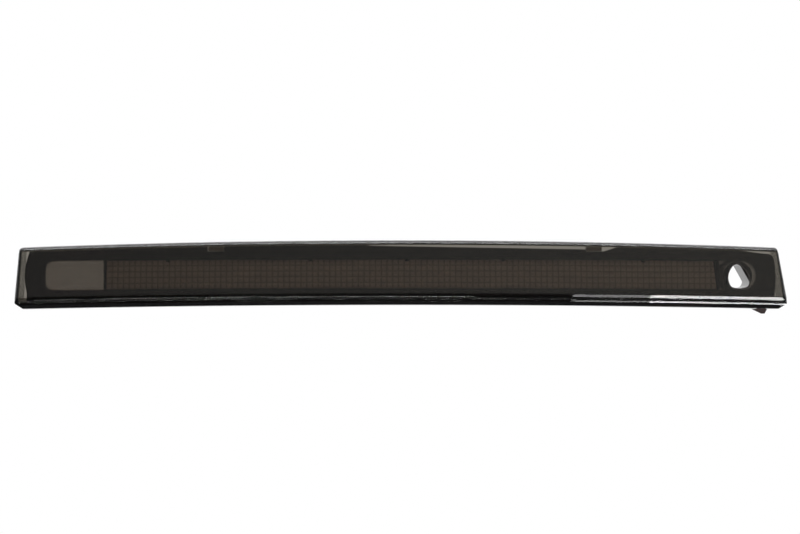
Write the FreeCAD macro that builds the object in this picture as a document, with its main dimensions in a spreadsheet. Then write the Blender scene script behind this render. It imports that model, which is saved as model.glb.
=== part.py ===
"""Third brake light for a vehicle's tailgate, with a tunnel for the rear washer nozzle.

A long smoked lens covers a black bezel, and the bezel's window shows a row of pillow optics. The lamp is
bowed in plan and arched in front view, so a long piece is one cross-section turned about a far bend axis
and then trimmed to its outline in front view.

Millimetres. +X runs to the right as the lamp is seen from behind the vehicle, +Y points into the tailgate
and +Z is up. The origin lies midway between the two mounting studs, on the plane of their seats.
"""

import FreeCAD
import Part
import os
import re
import Sketcher

Vector = FreeCAD.Vector

SIZES = (
    ("shell_back", 2880, "from the seat plane back to the bend axis of the lens and bezel"),
    ("shell_down", 835, "from the stud row down to the bend axis of the lens and bezel"),
    ("unit_back", 3072, "from the seat plane back to the bend axis of the light unit"),
    ("unit_down", 393, "from the stud row down to the bend axis of the light unit"),
    ("sweep_over", 26, "how far a turned cross-section runs past the lamp's ends before it is trimmed"),
    ("half_length", 250, "half of the lamp's length, at its lower corners"),
    ("middle_inset", 1.2, "how far the right end lies inside the half length at mid height"),
    ("middle_inset_left", 0.6, "how far the left end lies inside the half length at mid height"),
    ("top_inset", 4.2, "how far the top right corner lies inside the half length"),
    ("top_inset_left", 1.6, "how far the top left corner lies inside the half length"),
    ("lens_top", 21, "height of the lens's top edge at the middle of the lamp"),
    ("lens_arch", 4.6, "how far the top edge has dropped at the ends"),
    ("lens_low", 21, "depth of the lens's bottom edge at the middle of the lamp"),
    ("corner_low", 19.6, "depth at which the lower corners' cuts start"),
    ("corner_rise", 0.72, "slope of the lower corners' cuts"),
    ("lens_front", 38, "from the seat plane to the foremost edge of the lens"),
    ("chin", 13, "depth of the foremost edge"),
    ("lean", 0.131, "how far the front face leans back for each millimetre of height"),
    ("chin_back", 3, "how far the chin has drawn back at its lower edge"),
    ("chin_low", 18.6, "depth of the chin's lower edge"),
    ("sole", 13, "from the foremost edge back to the flat underside"),
    ("lens_wall", 2.5, "wall of the lens"),
    ("lens_rim", 12, "from the seat plane to the lens's back rim"),
    ("brow_round", 2.6, "radius of the lens's top front edge"),
    ("end_round", 3.2, "radius of the lens's ends"),
    ("groove_mid", 16, "depth of the groove between the two beads of the chin"),
    ("groove_half", 0.95, "half of the groove's height"),
    ("groove_deep", 1.2, "depth of the groove"),
    ("lens_gap", 1, "gap between the lens and the face of the bezel"),
    ("edge_gap", 0.4, "gap between the bezel's edges and the lens"),
    ("bezel_wall", 1.8, "wall of the bezel"),
    ("bezel_margin", 8, "from the lens's lower corners in to the bezel's ends"),
    ("bezel_bulge", 1.5, "how far the bezel's left end bulges at mid height"),
    ("corner_start", 22, "from the bezel's right end to where its top edge starts to fall"),
    ("corner_top", 8.7, "how far the bezel's top right corner lies below the lens's top"),
    ("corner_round", 6, "radius of the bezel's top right corner"),
    ("bezel_rear", 14, "from the seat plane to the bezel's back edge"),
    ("window_margin", 20, "from the lens's lower corners in to the window's ends"),
    ("window_top", 8.7, "height of the window's top edge at the middle"),
    ("window_low", 10, "depth of the window's bottom edge at the middle"),
    ("window_arch", 1.3, "how far the window has dropped at its ends"),
    ("window_round", 5, "radius of the window's left corners"),
    ("recess_right", 140, "from the middle to the right end of the recess in the bezel's top edge"),
    ("recess_high", 17.4, "height of the recess's floor at its left end"),
    ("recess_low", 15.1, "height of the recess's floor at its right end"),
    ("clip_wide", 10, "width of a bezel clip"),
    ("clip_high", 13.8, "height of the lower edge of the two large bezel clips"),
    ("clip_left", 120, "from the middle to the left bezel clip"),
    ("clip_mid", 16, "from the middle to the middle bezel clip"),
    ("clip_right", 124, "from the middle to the right bezel clip"),
    ("clip_deep", 6, "depth of a bezel clip"),
    ("seam", 0.3, "gap between neighbouring pieces of the light unit"),
    ("optic_over", 1.5, "how far the optics reach past the window's edges"),
    ("optic_wall", 2.4, "wall of the pillow optics"),
    ("optic_leg", 1.5, "thickness of the optics' legs"),
    ("optic_rear", 22.5, "from the seat plane to the back of the optics' legs"),
    ("optic_rib", 0.5, "height of the ribs between the rows of optics"),
    ("tile_margin", 39, "from the window's left end to the gap between the end tile and the strip"),
    ("strip_margin", 27, "from the strip's right end to the window's right end"),
    ("strip_slant", 2.2, "how far the strip's right end leans over its height"),
    ("lug_wide", 2.4, "width of a locating lug on the optics"),
    ("lug_high", 1.2, "height of a locating lug on the optics"),
    ("seal_thick", 1.4, "thickness of the seal behind the optics"),
    ("tray_wall", 2, "wall of the rear housing"),
    ("tray_top", 10.5, "height of the housing's inner face above the stud row"),
    ("tray_low", 11.8, "depth of the housing's inner face below the stud row"),
    ("tray_margin", 1.8, "from the strip's right end to the inside of the housing's right end"),
    ("tray_back", 9, "from the seat plane to the back of the rear housing"),
    ("tray_front", 26, "from the seat plane to the front of the rear housing"),
    ("weld_wide", 1.5, "width of the bezel's welding rib and of the housing's flange"),
    ("board_front", 19, "from the seat plane to the front of the circuit board"),
    ("board_thick", 1.6, "thickness of the circuit board"),
    ("board_top", 5.5, "height of the circuit board's top edge"),
    ("board_low", 7.5, "depth of the circuit board's bottom edge"),
    ("board_gap", 1.5, "from the gap beside the end tile to the board's left end"),
    ("board_margin", 6, "from the board's right end to the strip's right end"),
    ("screw_low", 4.8, "depth of the board's screws below the stud row"),
    ("screw_round", 1.1, "radius of a board screw"),
    ("screw_head", 1.6, "thickness of a board screw's head"),
    ("screw_long", 5, "depth of a board screw's hole in its post"),
    ("post_round", 2.3, "radius of a screw post"),
    ("led_end", 14, "from the outermost LEDs to the board's ends"),
    ("led_size", 3.5, "side of an LED"),
    ("led_thick", 1.5, "height of an LED"),
    ("led_window", 6, "side of the reflector's opening for an LED"),
    ("led_up", -1, "height of the row of LEDs"),
    ("cup_front", 26.3, "from the seat plane to the front of the reflector"),
    ("cup_flare", 1.5, "how far each long wall of the reflector opens towards the front"),
    ("cup_thick", 1.2, "wall of the reflector"),
    ("chip_long", 3.2, "length of a resistor or diode"),
    ("chip_wide", 1.6, "width of a resistor or diode"),
    ("chip_thick", 0.7, "thickness of a resistor or diode"),
    ("can_round", 2.5, "radius of a capacitor"),
    ("can_high", 4, "height of a capacitor"),
    ("stud_span", 300, "distance between the mounting studs"),
    ("stud_round", 2.5, "radius of a mounting stud"),
    ("shoulder_round", 3, "radius of the stud's shoulder inside its boss"),
    ("stud_long", 18, "length of a stud beyond the seat plane"),
    ("head_round", 4.5, "radius of a stud's head"),
    ("head_thick", 3, "thickness of a stud's head"),
    ("boss_round", 7.5, "radius of a stud's boss"),
    ("boss_deep", 11, "depth of a stud's boss"),
    ("pin_span", 120, "distance between the locating pins"),
    ("pin_round", 3, "radius of a locating pin"),
    ("pin_long", 8, "length of a locating pin beyond the seat plane"),
    ("fit", 0.1, "radial clearance of a part pressed or pushed into a hole"),
    ("nozzle_margin", 12, "from the nozzle tunnel's middle to the window's right end"),
    ("nozzle_z", -2.2, "height of the nozzle tunnel"),
    ("tunnel_wide", 13.8, "width of the nozzle tunnel"),
    ("tunnel_high", 15.6, "height of the nozzle tunnel"),
    ("neck_wall", 0.8, "wall of the sleeve's neck, where it passes the lens"),
    ("sleeve_round", 9.5, "outer radius of the sleeve"),
    ("sleeve_back", 3, "from the seat plane to the sleeve's back end"),
    ("nozzle_seal_long", 4, "length of the sleeve's rear seal"),
    ("nozzle_seal_wall", 1.6, "wall of the sleeve's rear seal"),
    ("plate_thick", 1.6, "thickness of the clear plate round the sleeve"),
    ("socket_x", -36, "from the middle to the connector"),
    ("socket_wide", 20, "width of the connector socket"),
    ("socket_high", 12, "height of the connector socket"),
    ("socket_wall", 1.6, "wall of the connector socket"),
    ("socket_front", 13, "from the seat plane to the front of the connector socket"),
    ("socket_seat", 7.1, "from the seat plane to the front of the socket's collar"),
    ("collar_wide", 1.8, "how far the collar stands out from the socket"),
    ("ring_thick", 1, "thickness of the connector's seal"),
    ("socket_long", 10, "length of the connector socket beyond the seat plane"),
    ("blade_gap", 6, "distance between the connector's two blades"),
    ("blade_wide", 2.8, "width of a blade"),
    ("blade_thick", 0.8, "thickness of a blade"),
    ("blade_end", 4, "length of a blade beyond the seat plane"),
    ("vent_x", 96, "from the middle to the breather"),
    ("vent_round", 5, "radius of the breather's cap"),
    ("vent_bore", 2, "radius of the breather's hole"),
    ("vent_high", 3.5, "height of the breather's cap"),
    ("cap_wall", 1, "wall of the breather's cap"),
    ("skin_thick", 0.4, "thickness of the breather's membrane"),
    ("foam_thick", 2.2, "thickness of the foam gasket"),
    ("foam_inset", 0.5, "how far the foam gasket lies inside the housing's back"),
    ("foam_wide", 3, "width of the foam gasket"),
    ("bead_wide", 4, "width of the adhesive bead along the lens's sole"),
    ("hook_margin", 13.3, "from the retaining hook's middle to the lens's right corner"),
    ("hook_wide", 9.6, "width of the retaining hook"),
    ("hook_top", 18, "depth of the hook's upper edge"),
    ("hook_root", 24, "depth at which the hook starts to narrow"),
    ("hook_thick", 2.6, "thickness of the hook"),
    ("hook_low", 26.9, "depth of the hook's lowest edge"),
    ("overrun", 1, "how far a cutting shape runs past the piece that it cuts"),
    ("beyond", 60, "how far a cut's outer frame stands clear of the lamp"),
)

# A rounded triangle, narrow at the top: each corner as shares of the half width and half height.
# A row of four values starts an arc and passes through its last two, and a row of two starts a line.
TUNNEL = (
    (-0.56, 0.83, -1.0, -0.08),
    (-0.72, -0.86, 0.0, -1.0),
    (0.62, -0.94, 0.89, -0.76),
    (0.98, -0.43),
    (0.17, 0.86, -0.22, 1.0),
)
# Where the lugs stand along the window's top edge.
TICKS = (-151, -59, 3, 65, 156)
LEDS = 16
# The board's screws stand between LEDs: how many LED pitches each lies from the middle of the board.
SCREWS = (-7, -4, 0, 3, 7)
ROWS = 5
# Places along the lamp, measured from its middle.
BEZEL_HALF = "(half_length - bezel_margin)"
WINDOW_HALF = "(half_length - window_margin)"
TILE_RIGHT = f"({WINDOW_HALF} - tile_margin)"
STRIP_RIGHT = f"({WINDOW_HALF} - strip_margin)"
TRAY_RIGHT = f"({STRIP_RIGHT} + tray_margin)"
BOARD_LEFT = f"({TILE_RIGHT} - board_gap)"
BOARD_RIGHT = f"({STRIP_RIGHT} - board_margin)"
BOARD_MIDDLE = f"(({BOARD_RIGHT} - {BOARD_LEFT}) / 2)"
LED_PITCH = f"(({BOARD_RIGHT} + {BOARD_LEFT} - 2 * led_end) / {LEDS - 1})"
NOZZLE_X = f"({WINDOW_HALF} - nozzle_margin)"
HOOK_X = "(half_length - hook_margin)"
# The angle in degrees that a cross-section is turned through.
BEND_SWEEP = "(2 * (half_length + sweep_over) / shell_back * 57.2958)"
BEZEL_FACE = "lens_front - lens_wall - lens_gap"

doc = FreeCAD.newDocument("ThirdBrakeLight")
sheet = doc.addObject("Spreadsheet::Sheet", "Dim")
pieces = []


def fill_sheet():
    """The driving dimensions, one to a row: name, value and meaning."""
    for row, (name, size, meaning) in enumerate(SIZES, 1):
        sheet.set(f"A{row}", name)
        sheet.set(f"B{row}", str(size))
        sheet.set(f"C{row}", meaning)
        sheet.setAlias(f"B{row}", name)
    doc.recompute()


def tied(words):
    """An expression in the sheet's names, written the way that setExpression wants it."""
    return re.sub(r"[a-z][a-z_]*\b(?!\()", r"Dim.\g<0>", str(words))


def size(words):
    """The value of an expression in the sheet's names."""
    return float(sheet.evalExpression(tied(words)))


def new_body(label):
    body = doc.addObject("PartDesign::Body", label)
    body.Label = label
    return body


def keep(label, piece):
    """Names a finished sub-part, which becomes one file."""
    piece.Label = label
    pieces.append(piece)
    return piece


def plane(body, role):
    return next(item for item in body.Origin.OriginFeatures if item.Role == role)


def bind_point(line, end, across, up):
    """Rules that tie a point to two expressions, measured from the sketch's origin."""
    return [(Sketcher.Constraint(kind, -1, 1, line, end, size(words)), words)
            for kind, words in (("DistanceX", across), ("DistanceY", up))]


def draw_loop(sketch, loop):
    """A closed outline: (across, up) starts a line, and two more values are a point that an arc passes."""
    spots = [Vector(size(point[0]), size(point[1]), 0) for point in loop]
    drawn, rules = [], []
    for start, stop, point in zip(spots, spots[1:] + spots[:1], loop):
        if len(point) == 2:
            drawn.append((sketch.addGeometry(Part.LineSegment(start, stop), False), 1, 2))
            continue
        passed = Vector(size(point[2]), size(point[3]), 0)
        arc = sketch.addGeometry(Part.Arc(start, passed, stop), False)
        first = 1 if sketch.getPoint(arc, 1).isEqual(start, 1e-5) else 2
        drawn.append((arc, first, 3 - first))
        mark = sketch.addGeometry(Part.Point(passed), True)
        rules += bind_point(mark, 1, point[2], point[3])
        rules.append((Sketcher.Constraint("PointOnObject", mark, 1, arc), None))
    for this, following in zip(drawn, drawn[1:] + drawn[:1]):
        meeting = Sketcher.Constraint("Coincident", this[0], this[2], following[0], following[1])
        rules.append((meeting, None))
    for index, point in enumerate(loop):
        rules += place_corner(drawn, loop, index, point)
    return rules


def place_corner(drawn, loop, index, point):
    """A corner is measured from the origin, but is level or upright with the last one if words repeat."""
    rules = []
    line, end = drawn[index][:2]
    straight = index > 0 and len(loop[index - 1]) == 2
    for side, kind, steady in ((0, "DistanceX", "Vertical"), (1, "DistanceY", "Horizontal")):
        words = point[side]
        if straight and words == loop[index - 1][side]:
            rules.append((Sketcher.Constraint(steady, drawn[index - 1][0]), None))
        else:
            rules.append((Sketcher.Constraint(kind, -1, 1, line, end, size(words)), words))
    return rules


def draw_circle(sketch, across, up, radius):
    spot = Vector(size(across), size(up), 0)
    circle = sketch.addGeometry(Part.Circle(spot, Vector(0, 0, 1), size(radius)), False)
    rule = Sketcher.Constraint("Radius", circle, size(radius))
    return bind_point(circle, 3, across, up) + [(rule, radius)]


def draw_axis(sketch, back, down):
    """The bend axis, square to the line from the origin to it."""
    start = (back, f"-{down}")
    stop = (f"{back} + {down} / 10", f"{back} / 10 - {down}")
    ends = [Vector(size(across), size(up), 0) for across, up in (start, stop)]
    line = sketch.addGeometry(Part.LineSegment(*ends), True)
    return bind_point(line, 1, *start) + bind_point(line, 2, *stop)


def new_sketch(body, role, shapes, axis=None):
    """A sketch on one of the body's origin planes. A shape of three names is a circle."""
    sketch = body.newObject("Sketcher::SketchObject", body.Name + "_sketch")
    sketch.AttachmentSupport = (plane(body, role), "")
    sketch.MapMode = "FlatFace"
    rules = draw_axis(sketch, *axis) if axis else []
    for shape in shapes:
        rules += draw_circle(sketch, *shape) if isinstance(shape[0], str) else draw_loop(sketch, shape)
    for index, (rule, words) in zip(sketch.addConstraint([rule for rule, words in rules]), rules):
        if words is not None:
            sketch.setExpression(f"Constraints[{index}]", tied(words))
    return sketch


SHELL = ("shell_back", "shell_down")
UNIT = ("unit_back", "unit_down")


def turn(body, sections, axis):
    """Turns cross-sections, drawn as (Y, Z) at the middle of the lamp, about the far bend axis."""
    feature = body.newObject("PartDesign::Revolution", body.Name + "_turn")
    feature.Profile = new_sketch(body, "YZ_Plane", sections, axis)
    feature.ReferenceAxis = (feature.Profile[0], ["Axis0"])
    feature.setExpression("Angle", tied(BEND_SWEEP))
    feature.Midplane = True
    return feature


def cut(body, role, shapes):
    """Cuts away what lies inside the shapes, right through."""
    feature = body.newObject("PartDesign::Pocket", body.Name + "_cut")
    feature.Profile = new_sketch(body, role, shapes)
    feature.Type = "ThroughAll"
    feature.SideType = "Symmetric"
    return feature


def frame_loop():
    """A rectangle well outside the lamp, so that a cut leaves only what lies inside its other loops."""
    wide = "half_length + beyond"
    high = "lens_low + beyond"
    return rectangle(f"-({wide})", f"-({high})", wide, high)


def rectangle(left, low, right, top):
    return [(left, low), (right, low), (right, top), (left, top)]


def bent(label, sections, outlines, axis=UNIT):
    """A bent piece: its sections turned about the axis, then trimmed to its outlines in front view."""
    body = new_body(label)
    turn(body, sections, axis)
    cut(body, "XZ_Plane", [frame_loop()] + outlines)
    return body


def fuse(label, *parts):
    """One solid from several."""
    result = doc.addObject("Part::MultiFuse", label)
    result.Shapes = list(parts)
    return result


def subtract(label, base, tool):
    result = doc.addObject("Part::Cut", label)
    result.Base = base
    result.Tool = tool
    return result


def pad_back(body, shapes, front, back):
    """Pads shapes drawn in front view, from one distance along Y to another."""
    sketch = new_sketch(body, "XZ_Plane", shapes)
    sketch.setExpression("AttachmentOffset.Base.z", tied(f"-({back})"))
    feature = body.newObject("PartDesign::Pad", body.Name + "_pad")
    feature.Profile = sketch
    feature.setExpression("Length", tied(f"({back}) - ({front})"))
    return feature


def pocket_back(body, shapes, front, back):
    """Cuts shapes drawn in front view, from one distance along Y to another."""
    sketch = new_sketch(body, "XZ_Plane", shapes)
    sketch.setExpression("AttachmentOffset.Base.z", tied(f"-({front})"))
    feature = body.newObject("PartDesign::Pocket", body.Name + "_pocket")
    feature.Profile = sketch
    feature.setExpression("Length", tied(f"({back}) - ({front})"))
    return feature


def bow(across):
    """How far a bent piece has drawn back at a distance from the middle."""
    return f"({across}) ^ 2 * shell_back / 2 / (shell_back ^ 2 + shell_down ^ 2)"


def leaning(face, up):
    """Y of a leaning face at a height: face is its distance from the seat plane at the chin."""
    return f"lean * ({up} + chin) - ({face})"


def box_round(across, up, wide, high):
    """A rectangle about a point in front view."""
    left, right = f"{across} - ({wide}) / 2", f"{across} + ({wide}) / 2"
    return rectangle(left, f"{up} - ({high}) / 2", right, f"{up} + ({high}) / 2")


def tunnel(grow):
    """The nozzle tunnel's outline, grown all round."""
    wide, high = f"(tunnel_wide / 2 + {grow})", f"(tunnel_high / 2 + {grow})"
    return [tuple(f"{centre} + {share} * {half}" for share, centre, half in
                  zip(row, (NOZZLE_X, "nozzle_z") * 2, (wide, high) * 2)) for row in TUNNEL]


# ---- lens ----

def lens_outline(inset):
    """Front view of the lens, drawn in from its outside; its underside is left to the section."""
    corner = f"half_length - top_inset - {inset}"
    left_corner = f"half_length - top_inset_left - {inset}"
    side = f"half_length - {inset}"
    shoulder = f"lens_top - lens_arch - {inset}"
    low = "lens_low + beyond / 10"
    run = f"{side} - ({low} - corner_low) / corner_rise"
    return [(f"-({left_corner})", shoulder, "0", f"lens_top - {inset}"),
            (corner, shoulder, f"{side} - middle_inset", "0"),
            (side, "-corner_low"),
            (run, f"-({low})"),
            (f"-({run})", f"-({low})"),
            (f"-({side})", "-corner_low", f"middle_inset_left - ({side})", "0")]


def round_end(body, side, inset):
    """Rounds one end of the lens in plan, along its slanting corner."""
    which = "" if side > 0 else "_left"
    end = f"(half_length - middle_inset{which} - {inset})"
    face = f"(lens_front - lean * chin - {inset} - {bow('half_length')})"
    radius = f"(end_round - {inset})"
    sign = "" if side > 0 else "-"
    loop = [("0", radius, f"{sign}(-0.29 * {radius})", f"0.3 * {radius}"),
            (f"{sign}(-{radius})", f"-0.083 * {radius}"),
            (f"{sign}(-{radius})", "-beyond / 4"),
            (f"{sign}(beyond / 4)", "-beyond / 4"),
            (f"{sign}(beyond / 4)", radius)]
    feature = cut(body, "XY_Plane", [loop])
    feature.Type = "Length"
    feature.setExpression("Length", tied("4 * (lens_top + lens_low)"))
    slope = -side * size(f"top_inset{which} / (lens_top + corner_low)")
    along = Vector(slope, size("lean"), 1)
    sketch = feature.Profile[0]
    sketch.AttachmentOffset = FreeCAD.Placement(Vector(), FreeCAD.Rotation(Vector(0, 0, 1), along))
    sketch.setExpression("AttachmentOffset.Base.x", tied(f"{sign}({end})"))
    sketch.setExpression("AttachmentOffset.Base.y", tied(f"-{face}"))


def middle(edge):
    return edge.valueAt((edge.FirstParameter + edge.LastParameter) / 2)


def round_brow(body, radius):
    """Rounds the long edge between the top and the face."""
    doc.recompute()
    base = body.Tip
    long_edges = [(number, middle(edge)) for number, edge in enumerate(base.Shape.Edges, 1)
                  if edge.Length > size("half_length")]
    high = [spot for spot in long_edges if spot[1].z > size("lens_top / 2")]
    brow = min(high, key=lambda spot: spot[1].y)
    feature = body.newObject("PartDesign::Fillet", body.Name + "_brow")
    feature.Base = (base, [f"Edge{brow[0]}"])
    feature.setExpression("Radius", tied(radius))


def make_lens():
    above = "(lens_top + beyond / 20)"
    outside = [("-lens_rim", above),
               (leaning("lens_front", above), above),
               ("-lens_front", "-chin"),
               ("chin_back - lens_front", "-chin_low",
                "chin_back / 2 + sole / 4 - lens_front", "-0.35 * chin_low - 0.65 * lens_low"),
               ("sole - lens_front", "-lens_low"),
               ("-lens_rim", "-lens_low")]
    outer = new_body("lens_outside")
    turn(outer, [outside], SHELL)
    cut(outer, "XZ_Plane", [frame_loop(), lens_outline("0")])
    round_brow(outer, "brow_round")
    for side in (1, -1):
        round_end(outer, side, "0")
    groove = outer.newObject("PartDesign::Groove", "chin_groove")
    lip = "(chin_back * (groove_mid - chin) / (chin_low - chin) - lens_front)"
    section = [(f"{lip} - lens_wall", "groove_half * 2 - groove_mid"),
               (f"{lip}", "groove_half - groove_mid", f"{lip} + groove_deep", "-groove_mid"),
               (f"{lip} + chin_back / 10", "-groove_half - groove_mid"),
               (f"{lip} - lens_wall", "-groove_half * 2 - groove_mid")]
    groove.Profile = new_sketch(outer, "YZ_Plane", [section], SHELL)
    groove.ReferenceAxis = (groove.Profile[0], ["Axis0"])
    groove.setExpression("Angle", tied(BEND_SWEEP))
    groove.Midplane = True
    inside = [("lens_rim", above),
              (leaning("lens_front - lens_wall", above), above),
              ("lens_wall - lens_front", "-chin"),
              ("chin_back + 1.1 * lens_wall - lens_front", "0.8 * lens_wall - chin_low"),
              ("sole - lens_front", "lens_wall - lens_low"),
              ("lens_rim", "lens_wall - lens_low")]
    inner = new_body("lens_inside")
    turn(inner, [inside], SHELL)
    cut(inner, "XZ_Plane", [frame_loop(), lens_outline("lens_wall")])
    for side in (1, -1):
        round_end(inner, side, "lens_wall")
    bore = new_body("lens_bore")
    pad_back(bore, [tunnel("neck_wall + fit")], "-lens_front", "-lens_rim")
    keep("outer_lens", subtract("lens_bored", subtract("lens_shell", outer, inner), bore))


# ---- bezel ----

def rim_height(across, gap):
    """Height of a piece's top edge under the lens's arched top wall."""
    return f"lens_top - lens_wall - {gap} - lens_arch * (({across}) / (half_length - top_inset)) ^ 2"


def bezel_outline():
    left, right = f"({BEZEL_HALF} - bezel_bulge)", f"({BEZEL_HALF} - corner_start)"
    deep = "lens_low + beyond / 10"
    return [(f"-{left}", rim_height(left, "edge_gap"), "0", rim_height("0", "edge_gap")),
            (right, rim_height(right, "edge_gap")),
            (f"{BEZEL_HALF} - corner_round", "lens_top - corner_top",
             f"{BEZEL_HALF} - 0.23 * corner_round", "lens_top - corner_top - 0.22 * corner_round"),
            (BEZEL_HALF, "lens_top - corner_top - 0.63 * corner_round",
             f"{BEZEL_HALF} + bezel_bulge / 2", "0"),
            (BEZEL_HALF, "-chin"),
            (f"{BEZEL_HALF} - bezel_bulge", f"-({deep})"),
            (f"-{BEZEL_HALF}", f"-({deep})"),
            (f"-{BEZEL_HALF}", "-chin", f"-{BEZEL_HALF} - bezel_bulge", "0")]


def window_edge(across, up):
    """Height of the window's top or bottom edge at a distance from the middle."""
    return f"({up}) - window_arch * (({across}) / {WINDOW_HALF}) ^ 2"


def window_outline():
    left, right = f"({WINDOW_HALF} - window_round)", f"({WINDOW_HALF} - (window_top + window_low) / 2)"
    top_left, low_left = window_edge(left, "window_top"), window_edge(left, "-window_low")
    top_right, low_right = window_edge(right, "window_top"), window_edge(right, "-window_low")
    side, near = f"0.3 * window_round - {WINDOW_HALF}", "0.3 * window_round"
    return [(f"-{WINDOW_HALF}", f"{top_left} - window_round", side, f"{top_left} - {near}"),
            (f"-{left}", top_left, "0", "window_top"),
            (right, top_right, WINDOW_HALF, "(window_top - window_low) / 2 - window_arch"),
            (right, low_right, "0", "-window_low"),
            (f"-{left}", low_left, side, f"{low_left} + {near}"),
            (f"-{WINDOW_HALF}", f"{low_left} + window_round")]


def recess_outline():
    """The low stretch of the bezel's top edge, with the notch for the right clip at its end."""
    high = "lens_top + beyond / 10"
    start = "-clip_mid - clip_wide / 2 - seam"
    notch_left, notch_right = "clip_right - clip_wide / 2 - seam", "clip_right + clip_wide / 2 + seam"
    return [(start, high),
            (start, "recess_high"),
            (notch_left, "recess_low"),
            (notch_left, "clip_high - seam"),
            (notch_right, "clip_high - seam"),
            ("recess_right", rim_height("recess_right", "edge_gap + 0.2")),
            ("recess_right", high)]


def notch_outline():
    left, right = "-clip_left - clip_wide / 2 - seam", "-clip_left + clip_wide / 2 + seam"
    return rectangle(left, "clip_high - seam", right, "lens_top + beyond / 10")


def make_bezel():
    above = "(lens_top + beyond / 20)"
    chin_y = "(chin_back + 1.1 * lens_wall + 0.8 * lens_gap - lens_front)"
    chin_z = "(0.8 * lens_wall + 0.6 * lens_gap - chin_low)"
    shelf = "(lens_wall + edge_gap - lens_low)"
    section = [(leaning(BEZEL_FACE, above), above),
               (f"-({BEZEL_FACE})", "-chin"),
               (chin_y, chin_z),
               ("sole - lens_front", shelf),
               ("-bezel_rear", shelf),
               ("-bezel_rear", f"{shelf} + bezel_wall"),
               ("sole - lens_front", f"{shelf} + bezel_wall"),
               (f"{chin_y} + 0.6 * bezel_wall", f"{chin_z} + 0.9 * bezel_wall"),
               (f"bezel_wall - ({BEZEL_FACE})", "0.4 * bezel_wall - chin"),
               (f"{leaning(BEZEL_FACE, above)} + bezel_wall", above)]
    face = bent("bezel_face", [section], [bezel_outline()], SHELL)
    cut(face, "XZ_Plane", [window_outline()])
    cut(face, "XZ_Plane", [recess_outline(), notch_outline()])
    back = f"{BEZEL_FACE} - bezel_wall / 2"
    ribs = [weld_rib(back, side) for side in ("tray_top + tray_wall", "-tray_low - tray_wall - weld_wide")]
    rib = bent("weld_ribs", ribs, [tall(f"-{TILE_RIGHT} - tray_wall", f"{TRAY_RIGHT} + tray_wall")])
    top = "tray_top"
    lug_section = [(leaning(back, top), top),
                   (leaning(back, "0"), "0"),
                   (leaning(f"({back} - bezel_wall / 2)", "0"), "0"),
                   (leaning(f"({back} - bezel_wall / 2)", top), top)]
    lugs = bent("window_lugs", [lug_section], [lug(tick) for tick in TICKS])
    keep("bezel", fuse("bezel_whole", face, rib, lugs))


def weld_rib(back, low):
    """Section of a rib that meets the housing's flange: low is its lower face."""
    high = f"({low} + weld_wide)"
    end = "-tray_front - seam / 3"
    return [(leaning(back, f"({low})"), low), (leaning(back, high), high), (end, high), (end, low)]


def lug(across):
    """A small lug that reaches past the window's top edge."""
    edge = window_edge(across, "window_top")
    left, right = f"{across} - lug_wide / 2", f"{across} + lug_wide / 2"
    return rectangle(left, f"{edge} - lug_high", right, f"{edge} + 2 * lug_high")


def make_clips():
    face = BEZEL_FACE
    section = [(leaning(face, "(lens_top)"), "lens_top"),
               (leaning(face, "0"), "0"),
               (f"{leaning(face, '0')} + clip_deep", "0"),
               (f"{leaning(face, '(lens_top)')} + clip_deep", "lens_top")]
    outlines = []
    for across, low in (("-clip_left", "clip_high"), ("-clip_mid", "recess_high + seam"),
                        ("clip_right", "clip_high")):
        left, right = f"{across} - clip_wide / 2", f"{across} + clip_wide / 2"
        top = rim_height(across, "edge_gap")
        outlines.append([(left, top), (left, low), (right, low), (right, top)])
    keep("bezel_clips", bent("clips", [section], outlines, SHELL))


def make_adhesive():
    section = rectangle("-bezel_rear - 2 * bead_wide", "lens_wall - lens_low",
                        "-bezel_rear - bead_wide", "lens_wall + edge_gap - lens_low")
    deep = "lens_low + beyond / 10"
    half = f"{BEZEL_HALF} - bead_wide"
    outline = rectangle(f"-({half})", f"-({deep})", half, "0")
    keep("lens_adhesive", bent("sole_bead", [section], [outline], SHELL))


# ---- light unit ----

OPTIC_FACE = "lens_front - lens_wall - lens_gap - bezel_wall - seam"


def optic_rows(top, low):
    """Points down the front of the optics, with a shallow groove between neighbouring rows."""
    points = [(leaning(OPTIC_FACE, f"({top})"), top)]
    for row in range(1, ROWS):
        up = f"(window_top - (window_top + window_low) * {row} / {ROWS})"
        points += [(leaning(OPTIC_FACE, up), f"{up} + optic_rib"),
                   (leaning(OPTIC_FACE, up) + " + optic_rib", up),
                   (leaning(OPTIC_FACE, up), f"{up} - optic_rib")]
    return points + [(leaning(OPTIC_FACE, f"(-({low}))"), f"-({low})")]


def tall(left, right, slant="0"):
    """Outline of a light-unit piece: only its ends matter, and the right one may lean."""
    high = "(lens_top + beyond / 10)"
    shift = f"{slant} * {high} / (window_top + window_low)"
    return [(left, f"-{high}"),
            (f"{right} + {shift}", f"-{high}"),
            (f"{right} - {shift}", high),
            (left, high)]


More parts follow.
